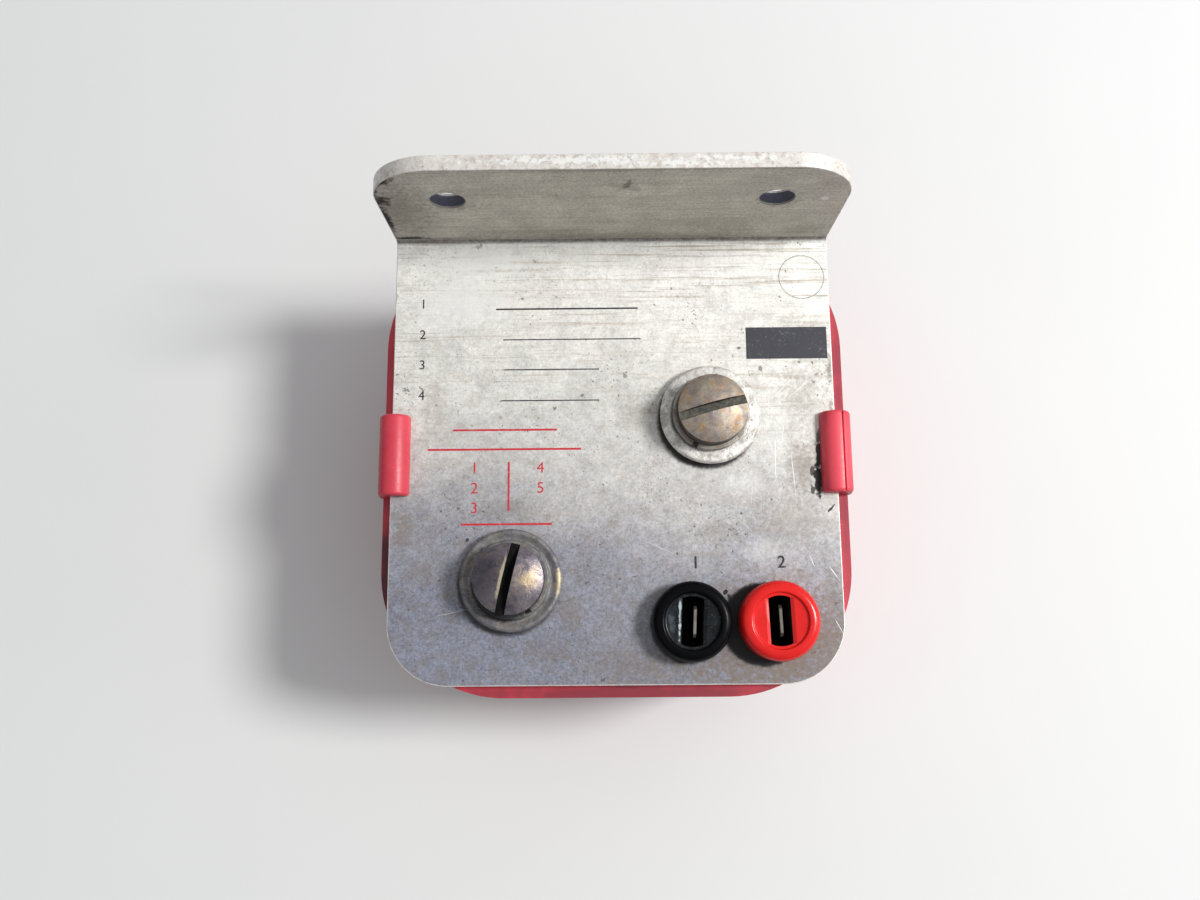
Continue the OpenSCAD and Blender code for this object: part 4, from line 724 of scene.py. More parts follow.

# Marks on the plate and on the flange, in millimetres: a place, two half sizes, a turn and a strength. Dirt,
# grime, rubs and scratches are marks of use; the painted shadow discs, one grime band between the terminals,
# the broad rubs over the top of the plate and a dark line under the flange's top edge are painted shade and
# painted light.
wear = {
    # grime, and a painted shadow between the two terminals, left of the red one
    "grimeAndShadow": (
        (31.8, -41.9, 0.8, 2.9, 0, 1), (32.05, -38.2, 0.5, 2.6, 0, 0.95),
        (32.1, -35.2, 0.35, 1.6, 0, 0.8), (31, -40.5, 0.45, 0.8, 0, 0.85),
        (30.9, -43.4, 0.5, 0.8, 0, 0.85), (18.9, -64.3, 1.2, 5.2, 0, 0.85),
        (33.6, -46.5, 0.9, 0.22, 48, 0.95), (-34.7, -11.4, 0.25, 0.5, 0, 0.4),
        (16.8, -59.2, 0.6, 0.35, 40, 1), (17.4, -60, 0.3, 0.6, 20, 0.9), (1.9, -25, 0.35, 0.5, 30, 0.5),
        (-22.8, -50.9, 0.35, 0.35, 0, 0.8), (20.2, -20.6, 0.35, 0.25, 0, 0.7),
        (23.4, -24, 0.35, 0.5, 20, 0.6)),
    # painted shadows: dark discs under the washers and the terminals, of which only the crescent beyond each
    # shows
    "contact": (
        (14.7, -32.3, 8.2, 8.2, 0, 0.95), (-16.45, -57.75, 8.25, 8.25, 0, 0.75),
        (22.5, -64.1, 6.8, 6.6, 0, 1), (11.25, -63.95, 6.3, 6.3, 0, 0.85)),
    "dirt": (
        (18.3, -61.5, 3.2, 6.5, 0, 0.55), (18.5, -68.6, 6, 3.4, 10, 0.6), (28, -70.4, 6, 2.6, 15, 0.45),
        (33, -61, 2.4, 8, 0, 0.5), (34.4, -24.1, 0.7, 3.2, 0, 0.7), (34.4, -31, 0.5, 2.6, 0, 0.6),
        (29.5, -40, 4, 6, 0, 0.5), (-32.8, -49.2, 2.4, 4.2, 0, 0.45),
        (-29.4, -55.5, 3.5, 1.6, 20, 0.35), (3.8, -31, 4, 6, -20, 0.22), (16, -50, 6, 2.4, 0, 0.3),
        (-16, -46.5, 9, 2.5, 0, 0.25), (-7, -62, 2.6, 4, 20, 0.4), (-10, -68, 6, 2.4, -8, 0.3),
        (31, -20, 4, 6, 10, 0.3), (-28, -30, 3, 8, 0, 0.25), (30, -28, 5, 7, 0, 0.3),
        (27, -48, 9, 6, 0, 0.3), (25, -67, 24, 13, 0, 0.75), (4, -70, 14, 5, 0, 0.4)),
    # rubs, and broad painted light over the top of the plate, strongest at the left
    "rubAndLight": (
        (25.6, -37.5, 2.2, 8.5, -4, 0.2), (20.5, -42.5, 5.5, 2, 0, 0.3), (-4, -5.5, 16, 2.4, 0, 0.35),
        (19, -5.6, 9, 2.2, 0, 0.35), (22.5, -53, 4, 3, 0, 0.3), (5, -36, 7, 3, -10, 0.2),
        (-22, -6, 15, 5, 0, 0.75), (-24, -12.5, 13, 7, 0, 0.7)),
    "scratch": (
        (25.3, -38, 4.6, 0.08, 89, 0.8), (28.0, -40.8, 4.6, 0.07, -86, 0.85),
        (24.6, -29.5, 5.8, 0.07, 86, 0.6), (29.4, -27.4, 3.1, 0.08, 40, 0.7),
        (27.4, -26.6, 3.6, 0.07, 47, 0.6), (26.6, -34.6, 4.4, 0.06, 81, 0.6),
        (33.6, -56.4, 1.8, 0.09, -56, 0.8), (34.0, -64.5, 1.7, 0.09, -62, 0.7),
        (30.3, -54.5, 1.5, 0.08, -70, 0.6), (22.6, -21.8, 4.2, 0.06, 62, 0.5),
        (-25, -62, 3, 0.06, 12, 0.4), (7.2, -52.4, 3.4, 0.06, -24, 0.4)),
    # smears at the flange's left corner, and a painted shadow line under its top edge at the right
    "flangeGrimeAndShadow": (
        (-34.1, 0.2, 1.9, 2.4, 0, 1), (-34.6, -6.5, 0.9, 7.4, 0, 1), (-32.2, -14.2, 3.8, 0.9, 0, 1),
        (-32.9, 6.4, 3.1, 1.3, 28, 1), (-34.6, 4, 0.9, 3.4, 0, 0.95), (34.7, 3.4, 0.4, 3.4, 0, 0.8),
        (-27, -14.6, 5, 0.35, 0, 0.5), (2.2, 5, 0.7, 2.2, -18, 0.6)),
    "flangeDirt": (
        (2.2, 4.1, 3, 2, -15, 0.35), (-20, 2, 9, 4, 10, 0.25), (14, -9, 12, 4, 0, 0.3),
        (30, -12, 5, 3, 0, 0.4), (24.3, -0.4, 4.6, 4, 0, 0.5), (-23.6, -1.6, 4.8, 3, 0, 0.5),
        (-10, -12, 14, 2, 3, 0.3), (-31, -3, 6, 12, 0, 0.5), (0, 9.7, 30, 0.8, 0, 0.5),
        (0, -14.2, 34, 2.4, 0, 0.45)),
    "flangeRub": (
        (31.3, -0.3, 0.75, 0.9, 0, 0.85), (-25.3, -9, 3, 0.1, -12, 0.5), (-6, -3, 12, 0.12, 2, 0.25))}


def plateMarks(marks):
    spotZ = front / mm
    placed = []
    for x, y, wide, high, turn, share in marks:
        placed.append(((x, y, spotZ), (wide, high, 1.2), share, 0, 0, turn))
    return placed


def flangeMarks(marks):
    spotY = flangeInner / mm
    placed = []
    for x, z, wide, high, turn, share in marks:
        placed.append(((x, spotY, z), (wide, 1.2, high), share, 0, -turn, 0))
    return placed


sheetFace = sheetFinish({
    "name": "aluminium_sheet", "lean": 0.12, "reach": 70,
    "tones": (
        (0.08, (252, 250, 243)), (0.2, (244, 241, 233)), (0.4, (229, 227, 220)), (0.6, (200, 197, 194)),
        (0.8, (153, 153, 162)), (0.97, (136, 139, 153))),
    "dull": (132, 130, 134), "stain": (154, 134, 106), "pit": (62, 54, 48),
    "bright": (250, 250, 247), "flange": (194, 190, 178), "cloud": 0.3, "streak": 0.72,
    "brown": 0.27, "lowBrown": 0.3, "lowStain": (98, 90, 86), "grit": 0.28, "lowGrit": 0.6,
    "mottle": 0.15, "pitShare": 0.66, "scratchShare": 0.3, "foldDirtAndShade": 0.82, "metal": 0.25,
    "foldHeight": front / mm + 0.7, "foldPlace": flangeInner / mm,
    "pits": ((1.5, 0.67, 0), (0.8, 0.7, 40), (3, 0.67, 90)),
    "scratches": ((62, 60, 0.018), (-38, 120, 0.018), (86, 33, 0.024)),
    "marks": (
        ((124, 108, 88), 0.9, 0.5, plateMarks(wear["dirt"])),
        # rubs, with painted light over the top of the plate
        ((246, 245, 240), 0.9, 0.4, plateMarks(wear["rubAndLight"])),
        # grime with a painted shadow between the terminals, then painted shadow discs under the washers and
        # terminals
        ((26, 23, 22), 0.3, 0.4, plateMarks(wear["grimeAndShadow"])),
        ((26, 23, 22), 0.09, 0.02, plateMarks(wear["contact"])),
        ((252, 252, 250), 0.6, 0.3, plateMarks(wear["scratch"]))),
    "flangeMarks": (
        ((112, 98, 80), 0.9, 0.4, flangeMarks(wear["flangeDirt"])),
        ((34, 31, 29), 0.75, 0.35, flangeMarks(wear["flangeGrimeAndShadow"])),
        ((236, 234, 230), 0.4, 0.3, flangeMarks(wear["flangeRub"])),
        # painted shade and the background seen through, in the walls of the two flange holes, and a painted
        # highlight at their tops
        ((74, 76, 98), 0.1, 0, (
            ((24.3, -1.2, 0), (6, 1, 6), 0.92), ((-24.3, -1.2, 0), (6, 1, 6), 0.92))),
        ((252, 252, 252), 0.4, 0.1, (
            ((24, -1.2, 3), (2, 1, 1.3), 0.95), ((-24, -1.2, 3), (2, 1, 1.3), 0.95))))})


def middleOf(name):
    low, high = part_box(name)
    return (low + high) / 2


def bracketShape():
    values = bracket
    outline = [
        (plateLow.y, plateLow.z), (plateHigh.y, plateLow.z), (plateHigh.y, plateHigh.z),
        (flangeInner, plateHigh.z), (flangeInner, front), (plateLow.y, front)]
    bm = drawnShape(outline, plateLow.x, plateHigh.x - plateLow.x, "X")
    close = 1e-6

    def alongX(spotY, spotZ):
        def test(a, b):
            return all(abs(co.y - spotY) < close and abs(co.z - spotZ) < close for co in (a, b))
        return test

    roundEdges(bm, alongX(flangeInner, front), values["bendRadius"], 12)
    roundEdges(bm, alongX(plateHigh.y, plateLow.z), values["bendRadius"] + values["sheet"], 12)

    def plateCorner(a, b):
        return abs(a.x - b.x) < close and max(a.y, b.y) < plateLow.y + close

    def flangeCorner(a, b):
        return abs(a.x - b.x) < close and min(a.z, b.z) > plateHigh.z - close

    roundEdges(bm, plateCorner, values["plateCorner"], 24)
    roundEdges(bm, flangeCorner, values["flangeCorner"], 24)
    faceOut(bm)
    over = values["overrun"]
    flat = Matrix.Rotation(math.radians(90), 3, "X")
    tools = []
    for side in (-1, 1):
        start = (side * values["flangeHoleX"], plateHigh.y + over, 0)
        tools.append(rodShape(start, values["flangeHole"], values["sheet"] + 2 * over, flat))
    for name, radius in (
            ("upper_grommet", values["grommetHole"]), ("lower_grommet", values["grommetHole"]),
            ("output_insulator", values["insulatorHole"]), ("input_insulator", values["insulatorHole"])):
        spot = middleOf(name)
        start = (spot.x, spot.y, plateLow.z - over)
        tools.append(rodShape(start, radius, values["sheet"] + 2 * over))
    bm = combine(bm, gather(tools))
    # the sheared edges and the drilled walls take the second finish
    foldY = flangeInner - values["bendRadius"]
    foldZ = front + values["bendRadius"]
    for face in bm.faces:
        spot = face.calc_center_median()
        if spot.y < foldY:
            sheared = abs(face.normal.z) < 0.3
        elif spot.z > foldZ:
            fromHole = math.hypot(abs(spot.x) - values["flangeHoleX"], spot.z)
            sheared = abs(face.normal.y) < 0.3 and fromHole > values["flangeHole"] * 1.1
        else:
            sheared = abs(face.normal.x) > 0.7
        face.material_index = 1 if sheared else 0
    return bm


addPiece(
    "bracket", bracketShape(), [sheetFace, shearedEdge], "mounting_plate",
    bracket["softEdge"], 3, edgeFinish=1)
print("bracket made")


# Housing: a drafted cup with a rounded foot, and two hooks that clip over the plate
housing = {
    "corner": 19.5 * mm, "wall": 2.2 * mm, "floor": 2.2 * mm, "foot": 5 * mm, "draft": math.radians(1),
    "cornerSteps": 24, "footSteps": 12, "hookLength": 12.8 * mm, "hookReach": 2.8 * mm,
    "hookWall": 1.8 * mm, "hookProud": 0.35 * mm, "hookCorner": 0.5 * mm, "seamWidth": 0.3 * mm,
    "seamDepth": 0.35 * mm, "seamTurn": math.radians(20), "softEdge": 0.18 * mm}
cupLow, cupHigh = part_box("housing")
cupMiddle = (cupLow + cupHigh) / 2
rim = plateLow.z


# Inset and height of a cup's section, from the middle of its bottom up to its rim
def cupSection(values, inset, low, foot):
    slope = math.tan(values["draft"])
    centreInset = inset + (rim - low - foot) * slope + foot / math.cos(values["draft"])
    points = []
    for step in range(values["footSteps"] + 1):
        turn = math.radians(-90) + (math.radians(90) - values["draft"]) * step / values["footSteps"]
        points.append((centreInset - foot * math.cos(turn), low + foot + foot * math.sin(turn)))
    points.append((inset, rim))
    return points


def housingShape():
    values = housing
    outer = cupSection(values, 0, cupLow.z, values["foot"])
    inner = cupSection(values, values["wall"], cupLow.z + values["floor"], values["foot"] - values["wall"])
    section = outer + inner[::-1]
    hookOut = (cupHigh.x - cupLow.x) / 2
    halfX = hookOut - values["hookProud"]
    halfY = (cupHigh.y - cupLow.y) / 2
    cornerX = halfX - values["corner"]
    cornerY = halfY - values["corner"]
    bm = bmesh.new()
    bmesh.ops.create_grid(bm, x_segments=1, y_segments=1, size=1)
    inset, height = section[0]
    bmesh.ops.scale(bm, vec=(halfX - inset, halfY - inset, 1), verts=bm.verts)
    moveBy(bm, (0, 0, height))
    bevelGeometry(bm, bm.verts[:], values["corner"] - inset, values["cornerSteps"], False, "VERTICES")
    loop = bm.edges[:]
    for inset, height in section[1:]:
        made = bmesh.ops.extrude_edge_only(bm, edges=loop)["geom"]
        loop = pick(made, bmesh.types.BMEdge)
        for vert in pick(made, bmesh.types.BMVert):
            corner = Vector((math.copysign(cornerX, vert.co.x), math.copysign(cornerY, vert.co.y)))
            away = (vert.co.xy - corner).normalized()
            vert.co.xy = corner + away * (values["corner"] - inset)
            vert.co.z = height
    bmesh.ops.contextual_create(bm, geom=loop)
    faceOut(bm)
    moveBy(bm, (cupMiddle.x, cupMiddle.y, 0))
    # the hooks: an upright beside the plate's edge and a half-round bead over it
    beadIn = plateHigh.x - values["hookReach"]
    beadRadius = (hookOut - beadIn) / 2
    upright = hookOut - values["hookWall"]
    rootIn = hookOut - 2 * values["hookProud"]
    rootLow = rim - 2 * values["hookProud"]
    start = cupMiddle.y - values["hookLength"] / 2
    for side in (-1, 1):
        top = front + beadRadius
        outline = [
            (upright, rootLow), (rootIn, rootLow), (hookOut, rim), (hookOut, top), (beadIn, top),
            (beadIn, front), (upright, front)]
        placed = [(cupMiddle.x + side * x, z) for x, z in outline]
        hook = drawnShape(placed, start, values["hookLength"])

        def topEdge(a, b):
            return all(abs(co.z - top) < 1e-6 for co in (a, b)) and abs(a.y - b.y) > 1e-4

        roundEdges(hook, topEdge, beadRadius, 14)

        def endEdge(a, b):
            sameEnd = abs(a.y - b.y) < 1e-6
            return sameEnd and min(a.z, b.z) > front - 1e-6 and abs(a.y - cupMiddle.y) > 1e-3

        roundEdges(hook, endEdge, values["hookCorner"], 4)
        bm = combine(bm, hook, "UNION")
    seam = boxShape(
        (-values["seamWidth"] / 2, -values["hookLength"], beadRadius - values["seamDepth"]),
        (values["seamWidth"] / 2, values["hookLength"], beadRadius + values["wall"]))
    turnBy(seam, Matrix.Rotation(values["seamTurn"], 3, "Y"))
    place(seam, (cupMiddle.x + beadIn + beadRadius, cupMiddle.y, front))
    return combine(bm, seam)


addPiece("housing_shell", housingShape(), [redMoulding], "housing", housing["softEdge"], 2)
print("housing made")


# Screws, washers and grommets
screws = {
    "headRadius": 5.3 * mm, "side": 3 * mm, "dome": 1.3 * mm, "shank": 3.1 * mm, "slotWidth": 1.4 * mm,
    "slotDepth": 1.5 * mm, "endChamfer": 0.5 * mm, "softEdge": 0.12 * mm,
    "upperTurn": math.radians(15), "lowerTurn": math.radians(77)}
washers = {
    "hole": 3.25 * mm, "flatRadius": 7.8 * mm, "flatEdge": 0.5 * mm, "lockRadius": 5.95 * mm,
    "splitWidth": 0.7 * mm, "upperSplit": math.radians(243), "lowerSplit": math.radians(300),
    "hollow": 0.28 * mm, "hollowInsets": (0.75 * mm, 1.15 * mm, 1.7 * mm), "lockEdge": 0.2 * mm,
    "softEdge": 0.12 * mm}
grommets = {"bore": 4.35 * mm, "neck": 5.45 * mm, "lip": 7.2 * mm, "lipEdge": 0.3 * mm}


def addScrew(prefix, turn, finish, slotFinish, sideFinish):
    values = screws
    low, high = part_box(prefix + "_screw")
    spot = middleOf(prefix + "_screw")
    headBottom = high.z - values["side"] - values["dome"]
    shank = low.z - headBottom
    profile = [
        (0, shank), (values["shank"] - values["endChamfer"], shank),
        (values["shank"], shank + values["endChamfer"]), (values["shank"], 0), (values["headRadius"], 0)]
    profile += domeProfile(values["headRadius"], values["side"], values["dome"])
    profile[-1] = (0, values["side"] + values["dome"])
    bm = turnedShape(profile)
    top = values["side"] + values["dome"]
    slot = boxShape(
        (-values["headRadius"] * 1.2, -values["slotWidth"] / 2, top - values["slotDepth"]),
        (values["headRadius"] * 1.2, values["slotWidth"] / 2, top + values["slotDepth"]))
    bm = combine(bm, slot)
    # the slot takes the second finish, darkened with painted shade, and the head's side wall the third
    floorZ = top - values["slotDepth"]
    for face in bm.faces:
        middle = face.calc_center_median()
        inSlot = abs(middle.y) < values["slotWidth"] / 2 + 1e-6 and middle.z > floorZ - 1e-6
        slotFace = inSlot and (abs(face.normal.y) > 0.99 or middle.z < floorZ + 1e-6)
        sideFace = middle.z < values["side"] and abs(face.normal.z) < 0.3
        if slotFace:
            face.material_index = 1
        elif sideFace:
            face.material_index = 2
    place(bm, (spot.x, spot.y, headBottom), turn)
    addPiece(
        prefix + "_screw_turned", bm, [finish, slotFinish, sideFinish], prefix + "_screw",
        values["softEdge"], 3, 30)


def addLockWasher(prefix, turn, finish):
    values = washers
    low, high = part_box(prefix + "_lock_washer")
    spot = middleOf(prefix + "_screw")
    height = high.z - low.z
    gap = values["splitWidth"] / values["lockRadius"] * 1.25
    outer = values["lockRadius"]
    ring = [(values["hole"], 0), (outer, 0), (outer, height), (values["hole"], height)]
    bm = turnedShape(ring, True, 88, math.tau - gap, gap / 2)
    bm = place(bm, (spot.x, spot.y, low.z), turn)
    addPiece(
        prefix + "_lock_ring", bm, [finish], prefix + "_lock_washer", values["lockEdge"], 3)


def addFlatWasher(prefix, finish, hollow):
    values = washers
    low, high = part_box(prefix + "_flat_washer")
    spot = middleOf(prefix + "_screw")
    height = high.z - low.z
    outer = values["flatRadius"]
    ring = [(values["hole"], 0), (outer, 0), (outer, height)]
    if hollow:
        crown, foot, flat = [outer - part for part in values["hollowInsets"]]
        ring += [(crown, height), (foot, height - hollow), (flat, height - hollow)]
        ring += [(values["lockRadius"] + 0.04 * mm, height)]
    ring.append((values["hole"], height))
    bm = turnedShape(ring, True)
    roundRings(bm, [(outer, 0, values["flatEdge"]), (outer, height, values["flatEdge"])])
    bm = place(bm, (spot.x, spot.y, low.z))
    addPiece(
        prefix + "_washer", bm, [finish], prefix + "_flat_washer", values["softEdge"], 2, 50)


def addGrommet(prefix):
    values = grommets
    low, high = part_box(prefix + "_grommet")
    spot = middleOf(prefix + "_screw")
    ring = [
        (values["bore"], low.z), (values["lip"], low.z), (values["lip"], plateLow.z),
        (values["neck"], plateLow.z), (values["neck"], front), (values["lip"], front),
        (values["lip"], high.z), (values["bore"], high.z)]
    bm = turnedShape(ring, True)
    edge = values["lipEdge"]
    roundRings(bm, [(values["lip"], z, edge) for z in (low.z, plateLow.z, front, high.z)], 4)
    bm = place(bm, (spot.x, spot.y, 0))
    addPiece(prefix + "_rubber", bm, [blackRubber], prefix + "_grommet")


addScrew("upper", screws["upperTurn"], tarnishedScrew, slotGrimeAndShade, headSide)
addScrew("lower", screws["lowerTurn"], greyScrew, slotPaintedShade, headSide)
addLockWasher("upper", washers["upperSplit"], lockFinish)
addLockWasher("lower", washers["lowerSplit"], dullWasher)
addFlatWasher("upper", brightWasher, 0)
addFlatWasher("lower", dullWasher, washers["hollow"])
addGrommet("upper")
addGrommet("lower")
print("fasteners made")


# Terminals: turned insulators with a sunk face, a plug slot and a blade inside
terminals = {
    "radius": 6 * mm, "neck": 4.8 * mm, "rimEdge": 1.25 * mm, "lipShare": 0.52, "recess": 4.2 * mm,
    "outputDepth": 0.7 * mm, "inputDepth": 0.45 * mm, "innerShare": 0.42, "slotLength": 7.5 * mm,
    "slotWidth": 3.3 * mm, "slotChamfer": 0.5 * mm, "slotLeadIn": 0.3 * mm, "floor": 1.5 * mm,
    "bladeWidth": 4.75 * mm, "bladeThick": 0.5 * mm, "bladeOffset": 0.6 * mm, "bladeEdge": 0.08 * mm,
    "brightTip": 0.5 * mm, "tipChamfer": 0.5 * mm, "tailWidth": 3 * mm, "solderHole": 0.7 * mm,
    "gate": 0.75 * mm, "gateDepth": 0.06 * mm, "softEdge": 0.1 * mm,
    "outputTurn": math.radians(-3), "inputTurn": math.radians(2)}


def addInsulator(prefix, turn, depth, finish, faceFinish):
    values = terminals
    low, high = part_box(prefix + "_insulator")
    spot = middleOf(prefix + "_insulator")
    sunk = high.z - depth
    profile = [
        (0, low.z), (values["neck"], low.z), (values["neck"], front), (values["radius"], front),
        (values["radius"], high.z), (values["recess"], high.z), (values["recess"], sunk), (0, sunk)]
    bm = turnedShape(profile)
    roundRings(bm, [(values["radius"], high.z, values["rimEdge"])], 8)
    roundRings(bm, [(values["recess"], high.z, depth * values["lipShare"])], 5)
    roundRings(bm, [(values["recess"], sunk, depth * values["innerShare"])], 5)
    # the plug slot: a cylinder with two flats, deep into the insulator
    slotFloor = low.z + values["floor"]
    slot = rodShape((0, 0, slotFloor), values["slotLength"] / 2, sunk - slotFloor + 1 * mm)
    half = values["slotWidth"] / 2
    for side in (-1, 1):
        cutPlane(slot, (side * half, 0, 0), (side, 0, 0), True)
        fillHoles(slot)
    faceOut(slot)
    sideLength = math.sqrt((values["slotLength"] / 2) ** 2 - half ** 2)
    chamfer = values["slotChamfer"]
    leadDepth = values["slotLeadIn"]
    mouth = [
        (-half, sunk - leadDepth), (half, sunk - leadDepth), (half + chamfer, sunk),
        (half + chamfer, sunk + chamfer), (-half - chamfer, sunk + chamfer), (-half - chamfer, sunk)]
    bm = combine(bm, slot)
    bm = combine(bm, drawnShape(mouth, -sideLength, 2 * sideLength))
    # the round mark where the plastic entered the mould
    gateX = -half - chamfer - values["gate"] * 0.75
    gate = rodShape((gateX, 0, sunk - values["gateDepth"]), values["gate"], depth, None, 32)
    bm = combine(bm, gate)
    # the slot's walls take the second finish, near black as painted shade, and the sunk face the third
    for face in bm.faces:
        middle = face.calc_center_median()
        beside = abs(middle.x) < half + 1e-5 and abs(middle.y) < values["slotLength"] / 2 + 1e-5
        if beside and slotFloor - 1e-6 < middle.z < sunk - leadDepth * 0.6:
            face.material_index = 1
        elif middle.xy.length < values["recess"] and middle.z > sunk - leadDepth * 0.6:
            face.material_index = 2
    bm = place(bm, (spot.x, spot.y, 0), turn)
    addPiece(
        prefix + "_terminal", bm, [finish, borePaintedShade, faceFinish], prefix + "_insulator",
        values["softEdge"], 2, 30)


def addBlade(prefix, turn):
    values = terminals
    low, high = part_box(prefix + "_blade")
    spot = middleOf(prefix + "_insulator")
    wide = values["bladeWidth"] / 2
    tail = values["tailWidth"] / 2
    tip = values["tipChamfer"]
    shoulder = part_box(prefix + "_insulator")[0].z + values["floor"]
    outline = [
        (-wide, shoulder), (-tail, shoulder), (-tail, low.z), (tail, low.z), (tail, shoulder),
        (wide, shoulder), (wide, high.z - tip), (wide - tip, high.z), (tip - wide, high.z),
        (-wide, high.z - tip)]
    start = values["bladeOffset"] - values["bladeThick"] / 2
    bm = drawnShape(outline, start, values["bladeThick"], "X")

    def tailEnd(a, b):
        return max(a.z, b.z) < low.z + 1e-6 and abs(a.y - b.y) < 1e-6

    roundEdges(bm, tailEnd, tail, 8)
    hole = rodShape(
        (start - 1 * mm, 0, low.z + tail), values["solderHole"], 3 * mm,
        Matrix.Rotation(math.radians(90), 3, "Y"), 32)
    bm = combine(bm, hole)
    # only the tip is bright; below it the blade is darker, tarnish and painted shade inside the slot
    tipEnd = high.z - values["brightTip"]
    cutPlane(bm, (0, 0, tipEnd), (0, 0, 1))
    for face in bm.faces:
        face.material_index = 0 if face.calc_center_median().z > tipEnd else 1
    place(bm, (spot.x, spot.y, 0), turn)
    addPiece(
        prefix + "_tab", bm, [bladeFinish, bladeTarnishAndShade], prefix + "_blade", values["bladeEdge"], 2)


addInsulator(
    "output", terminals["outputTurn"], terminals["outputDepth"], blackInsulator, dustAndSheenInsulator)
addInsulator(
    "input", terminals["inputTurn"], terminals["inputDepth"], redInsulator, redInsulator)
addBlade("output", terminals["outputTurn"])
addBlade("input", terminals["inputTurn"])
print("terminals made")


# Leaf spring: a folded strip with holes for the yoke screws, the armature rivets and the moving contact
leaf = {
    "thick": 0.3 * mm, "bend": 1.5 * mm, "screwHole": 1.65 * mm, "rivetHole": 0.95 * mm,
    "pointHole": 1.05 * mm}


def leafShape():
    low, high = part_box("leaf_spring")
    thick = leaf["thick"]
    outline = [
        (low.x, high.z), (high.x, high.z), (high.x, low.z), (high.x - thick, low.z),
        (high.x - thick, high.z - thick), (low.x, high.z - thick)]
    bm = drawnShape(outline, low.y, high.y - low.y)

    def bendEdge(spotX, spotZ):
        return lambda a, b: all(abs(co.x - spotX) < 1e-6 and abs(co.z - spotZ) < 1e-6 for co in (a, b))

    roundEdges(bm, bendEdge(high.x - thick, high.z - thick), leaf["bend"], 8)
    roundEdges(bm, bendEdge(high.x, high.z), leaf["bend"] + thick, 8)
    tools = []
    middleY = (low.y + high.y) / 2
    screwLow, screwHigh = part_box("yoke_screws")
    headRadius = (screwHigh.y - screwLow.y) / 2
    for x in (screwLow.x + headRadius, screwHigh.x - headRadius):
        tools.append(rodShape((x, middleY, high.z - 2 * mm), leaf["screwHole"], 4 * mm, None, 32))
    level = Matrix.Rotation(math.radians(90), 3, "Y")
    rivetLow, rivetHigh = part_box("armature_rivets")
    rivetRadius = (rivetHigh.z - rivetLow.z) / 2
    rivetZ = (rivetLow.z + rivetHigh.z) / 2
    for y in (rivetLow.y + rivetRadius, rivetHigh.y - rivetRadius):
        tools.append(rodShape((high.x - 2 * mm, y, rivetZ), leaf["rivetHole"], 4 * mm, level, 32))
    pointZ = middleOf("moving_contact").z
    tools.append(rodShape((high.x - 2 * mm, middleY, pointZ), leaf["pointHole"], 4 * mm, level, 32))
    bm = combine(bm, gather(tools))
    # cuts across the upright part, so that it can bend smoothly
    for step in range(1, 12):
        cutPlane(bm, (0, 0, high.z + (low.z - high.z) * step / 12), (0, 0, 1))
    return bm


leafPiece = addPiece(
    "leaf_strip", leafShape(), [springFinish], "leaf_spring", 0, 2, 30, None)
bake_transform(leafPiece)
print("leaf spring made")


# Printing: ruled lines, plain numbers and a circle, all thin films on the plate
printing = {
    "film": 0.02 * mm,
    "lines": (
        (-18.7, 4.1, -13.79, 0.26), (-17.5, 4.5, -18.89, 0.18), (-17.3, -2.2, -23.84, 0.18),
        (-17.8, -2.2, -28.89, 0.18)),
    "rowNumbers": ((-30.4, -12.8, "1"), (-30.4, -17.9, "2"), (-30.4, -22.9, "3"), (-30.4, -27.9, "4")),
    "redLines": ((-25.3, -8.9, -33.6), (-29.2, -5.1, -36.7), (-23.8, -9.7, -48.5)),
    "redNumbers": (
        (-21.8, -39.6, "1"), (-21.8, -42.8, "2"), (-21.8, -45.9, "3"), (-11.5, -39.6, "4"),
        (-11.5, -42.8, "5")),
    "divider": (-16.45, -38.7, -46.4), "redWidth": 0.32,
    "terminalNumbers": ((12.4, -54.6, "1"), (25.6, -54.6, "2")),
    "block": (21.3, 34.2, -17.2, -22.4), "circle": (30.6, -8.8, 3.55), "circleWidth": 0.16 * mm}
blackInk = inkFinish({
    "name": "black_ink", "colour": (44, 42, 44), "under": (150, 148, 146), "shift": (3, 8, 0),
    "worn": (0.56, 0.68, 0, 0.8)})
redInk = inkFinish({
    "name": "red_ink", "colour": (204, 44, 58), "under": (196, 140, 138), "shift": (11, 2, 0),
    "worn": (0.54, 0.7, 0, 0.8)})
greyInk = inkFinish({
    "name": "grey_ink", "colour": (62, 62, 68), "under": (124, 124, 128), "shift": (23, 5, 0),
    "worn": (0.55, 0.72, 0, 0.7)})
faintInk = inkFinish({
    "name": "faint_ink", "colour": (146, 142, 138), "under": (216, 212, 204), "shift": (31, 7, 0),
    "worn": (0.42, 0.6, 0, 0.9)})


def filmBar(fromX, toX, fromY, toY):
    return boxShape((fromX * mm, fromY * mm, front), (toX * mm, toY * mm, front + printing["film"]))


def ruledLine(fromX, toX, y, width):
    return filmBar(fromX, toX, y - width / 2, y + width / 2)


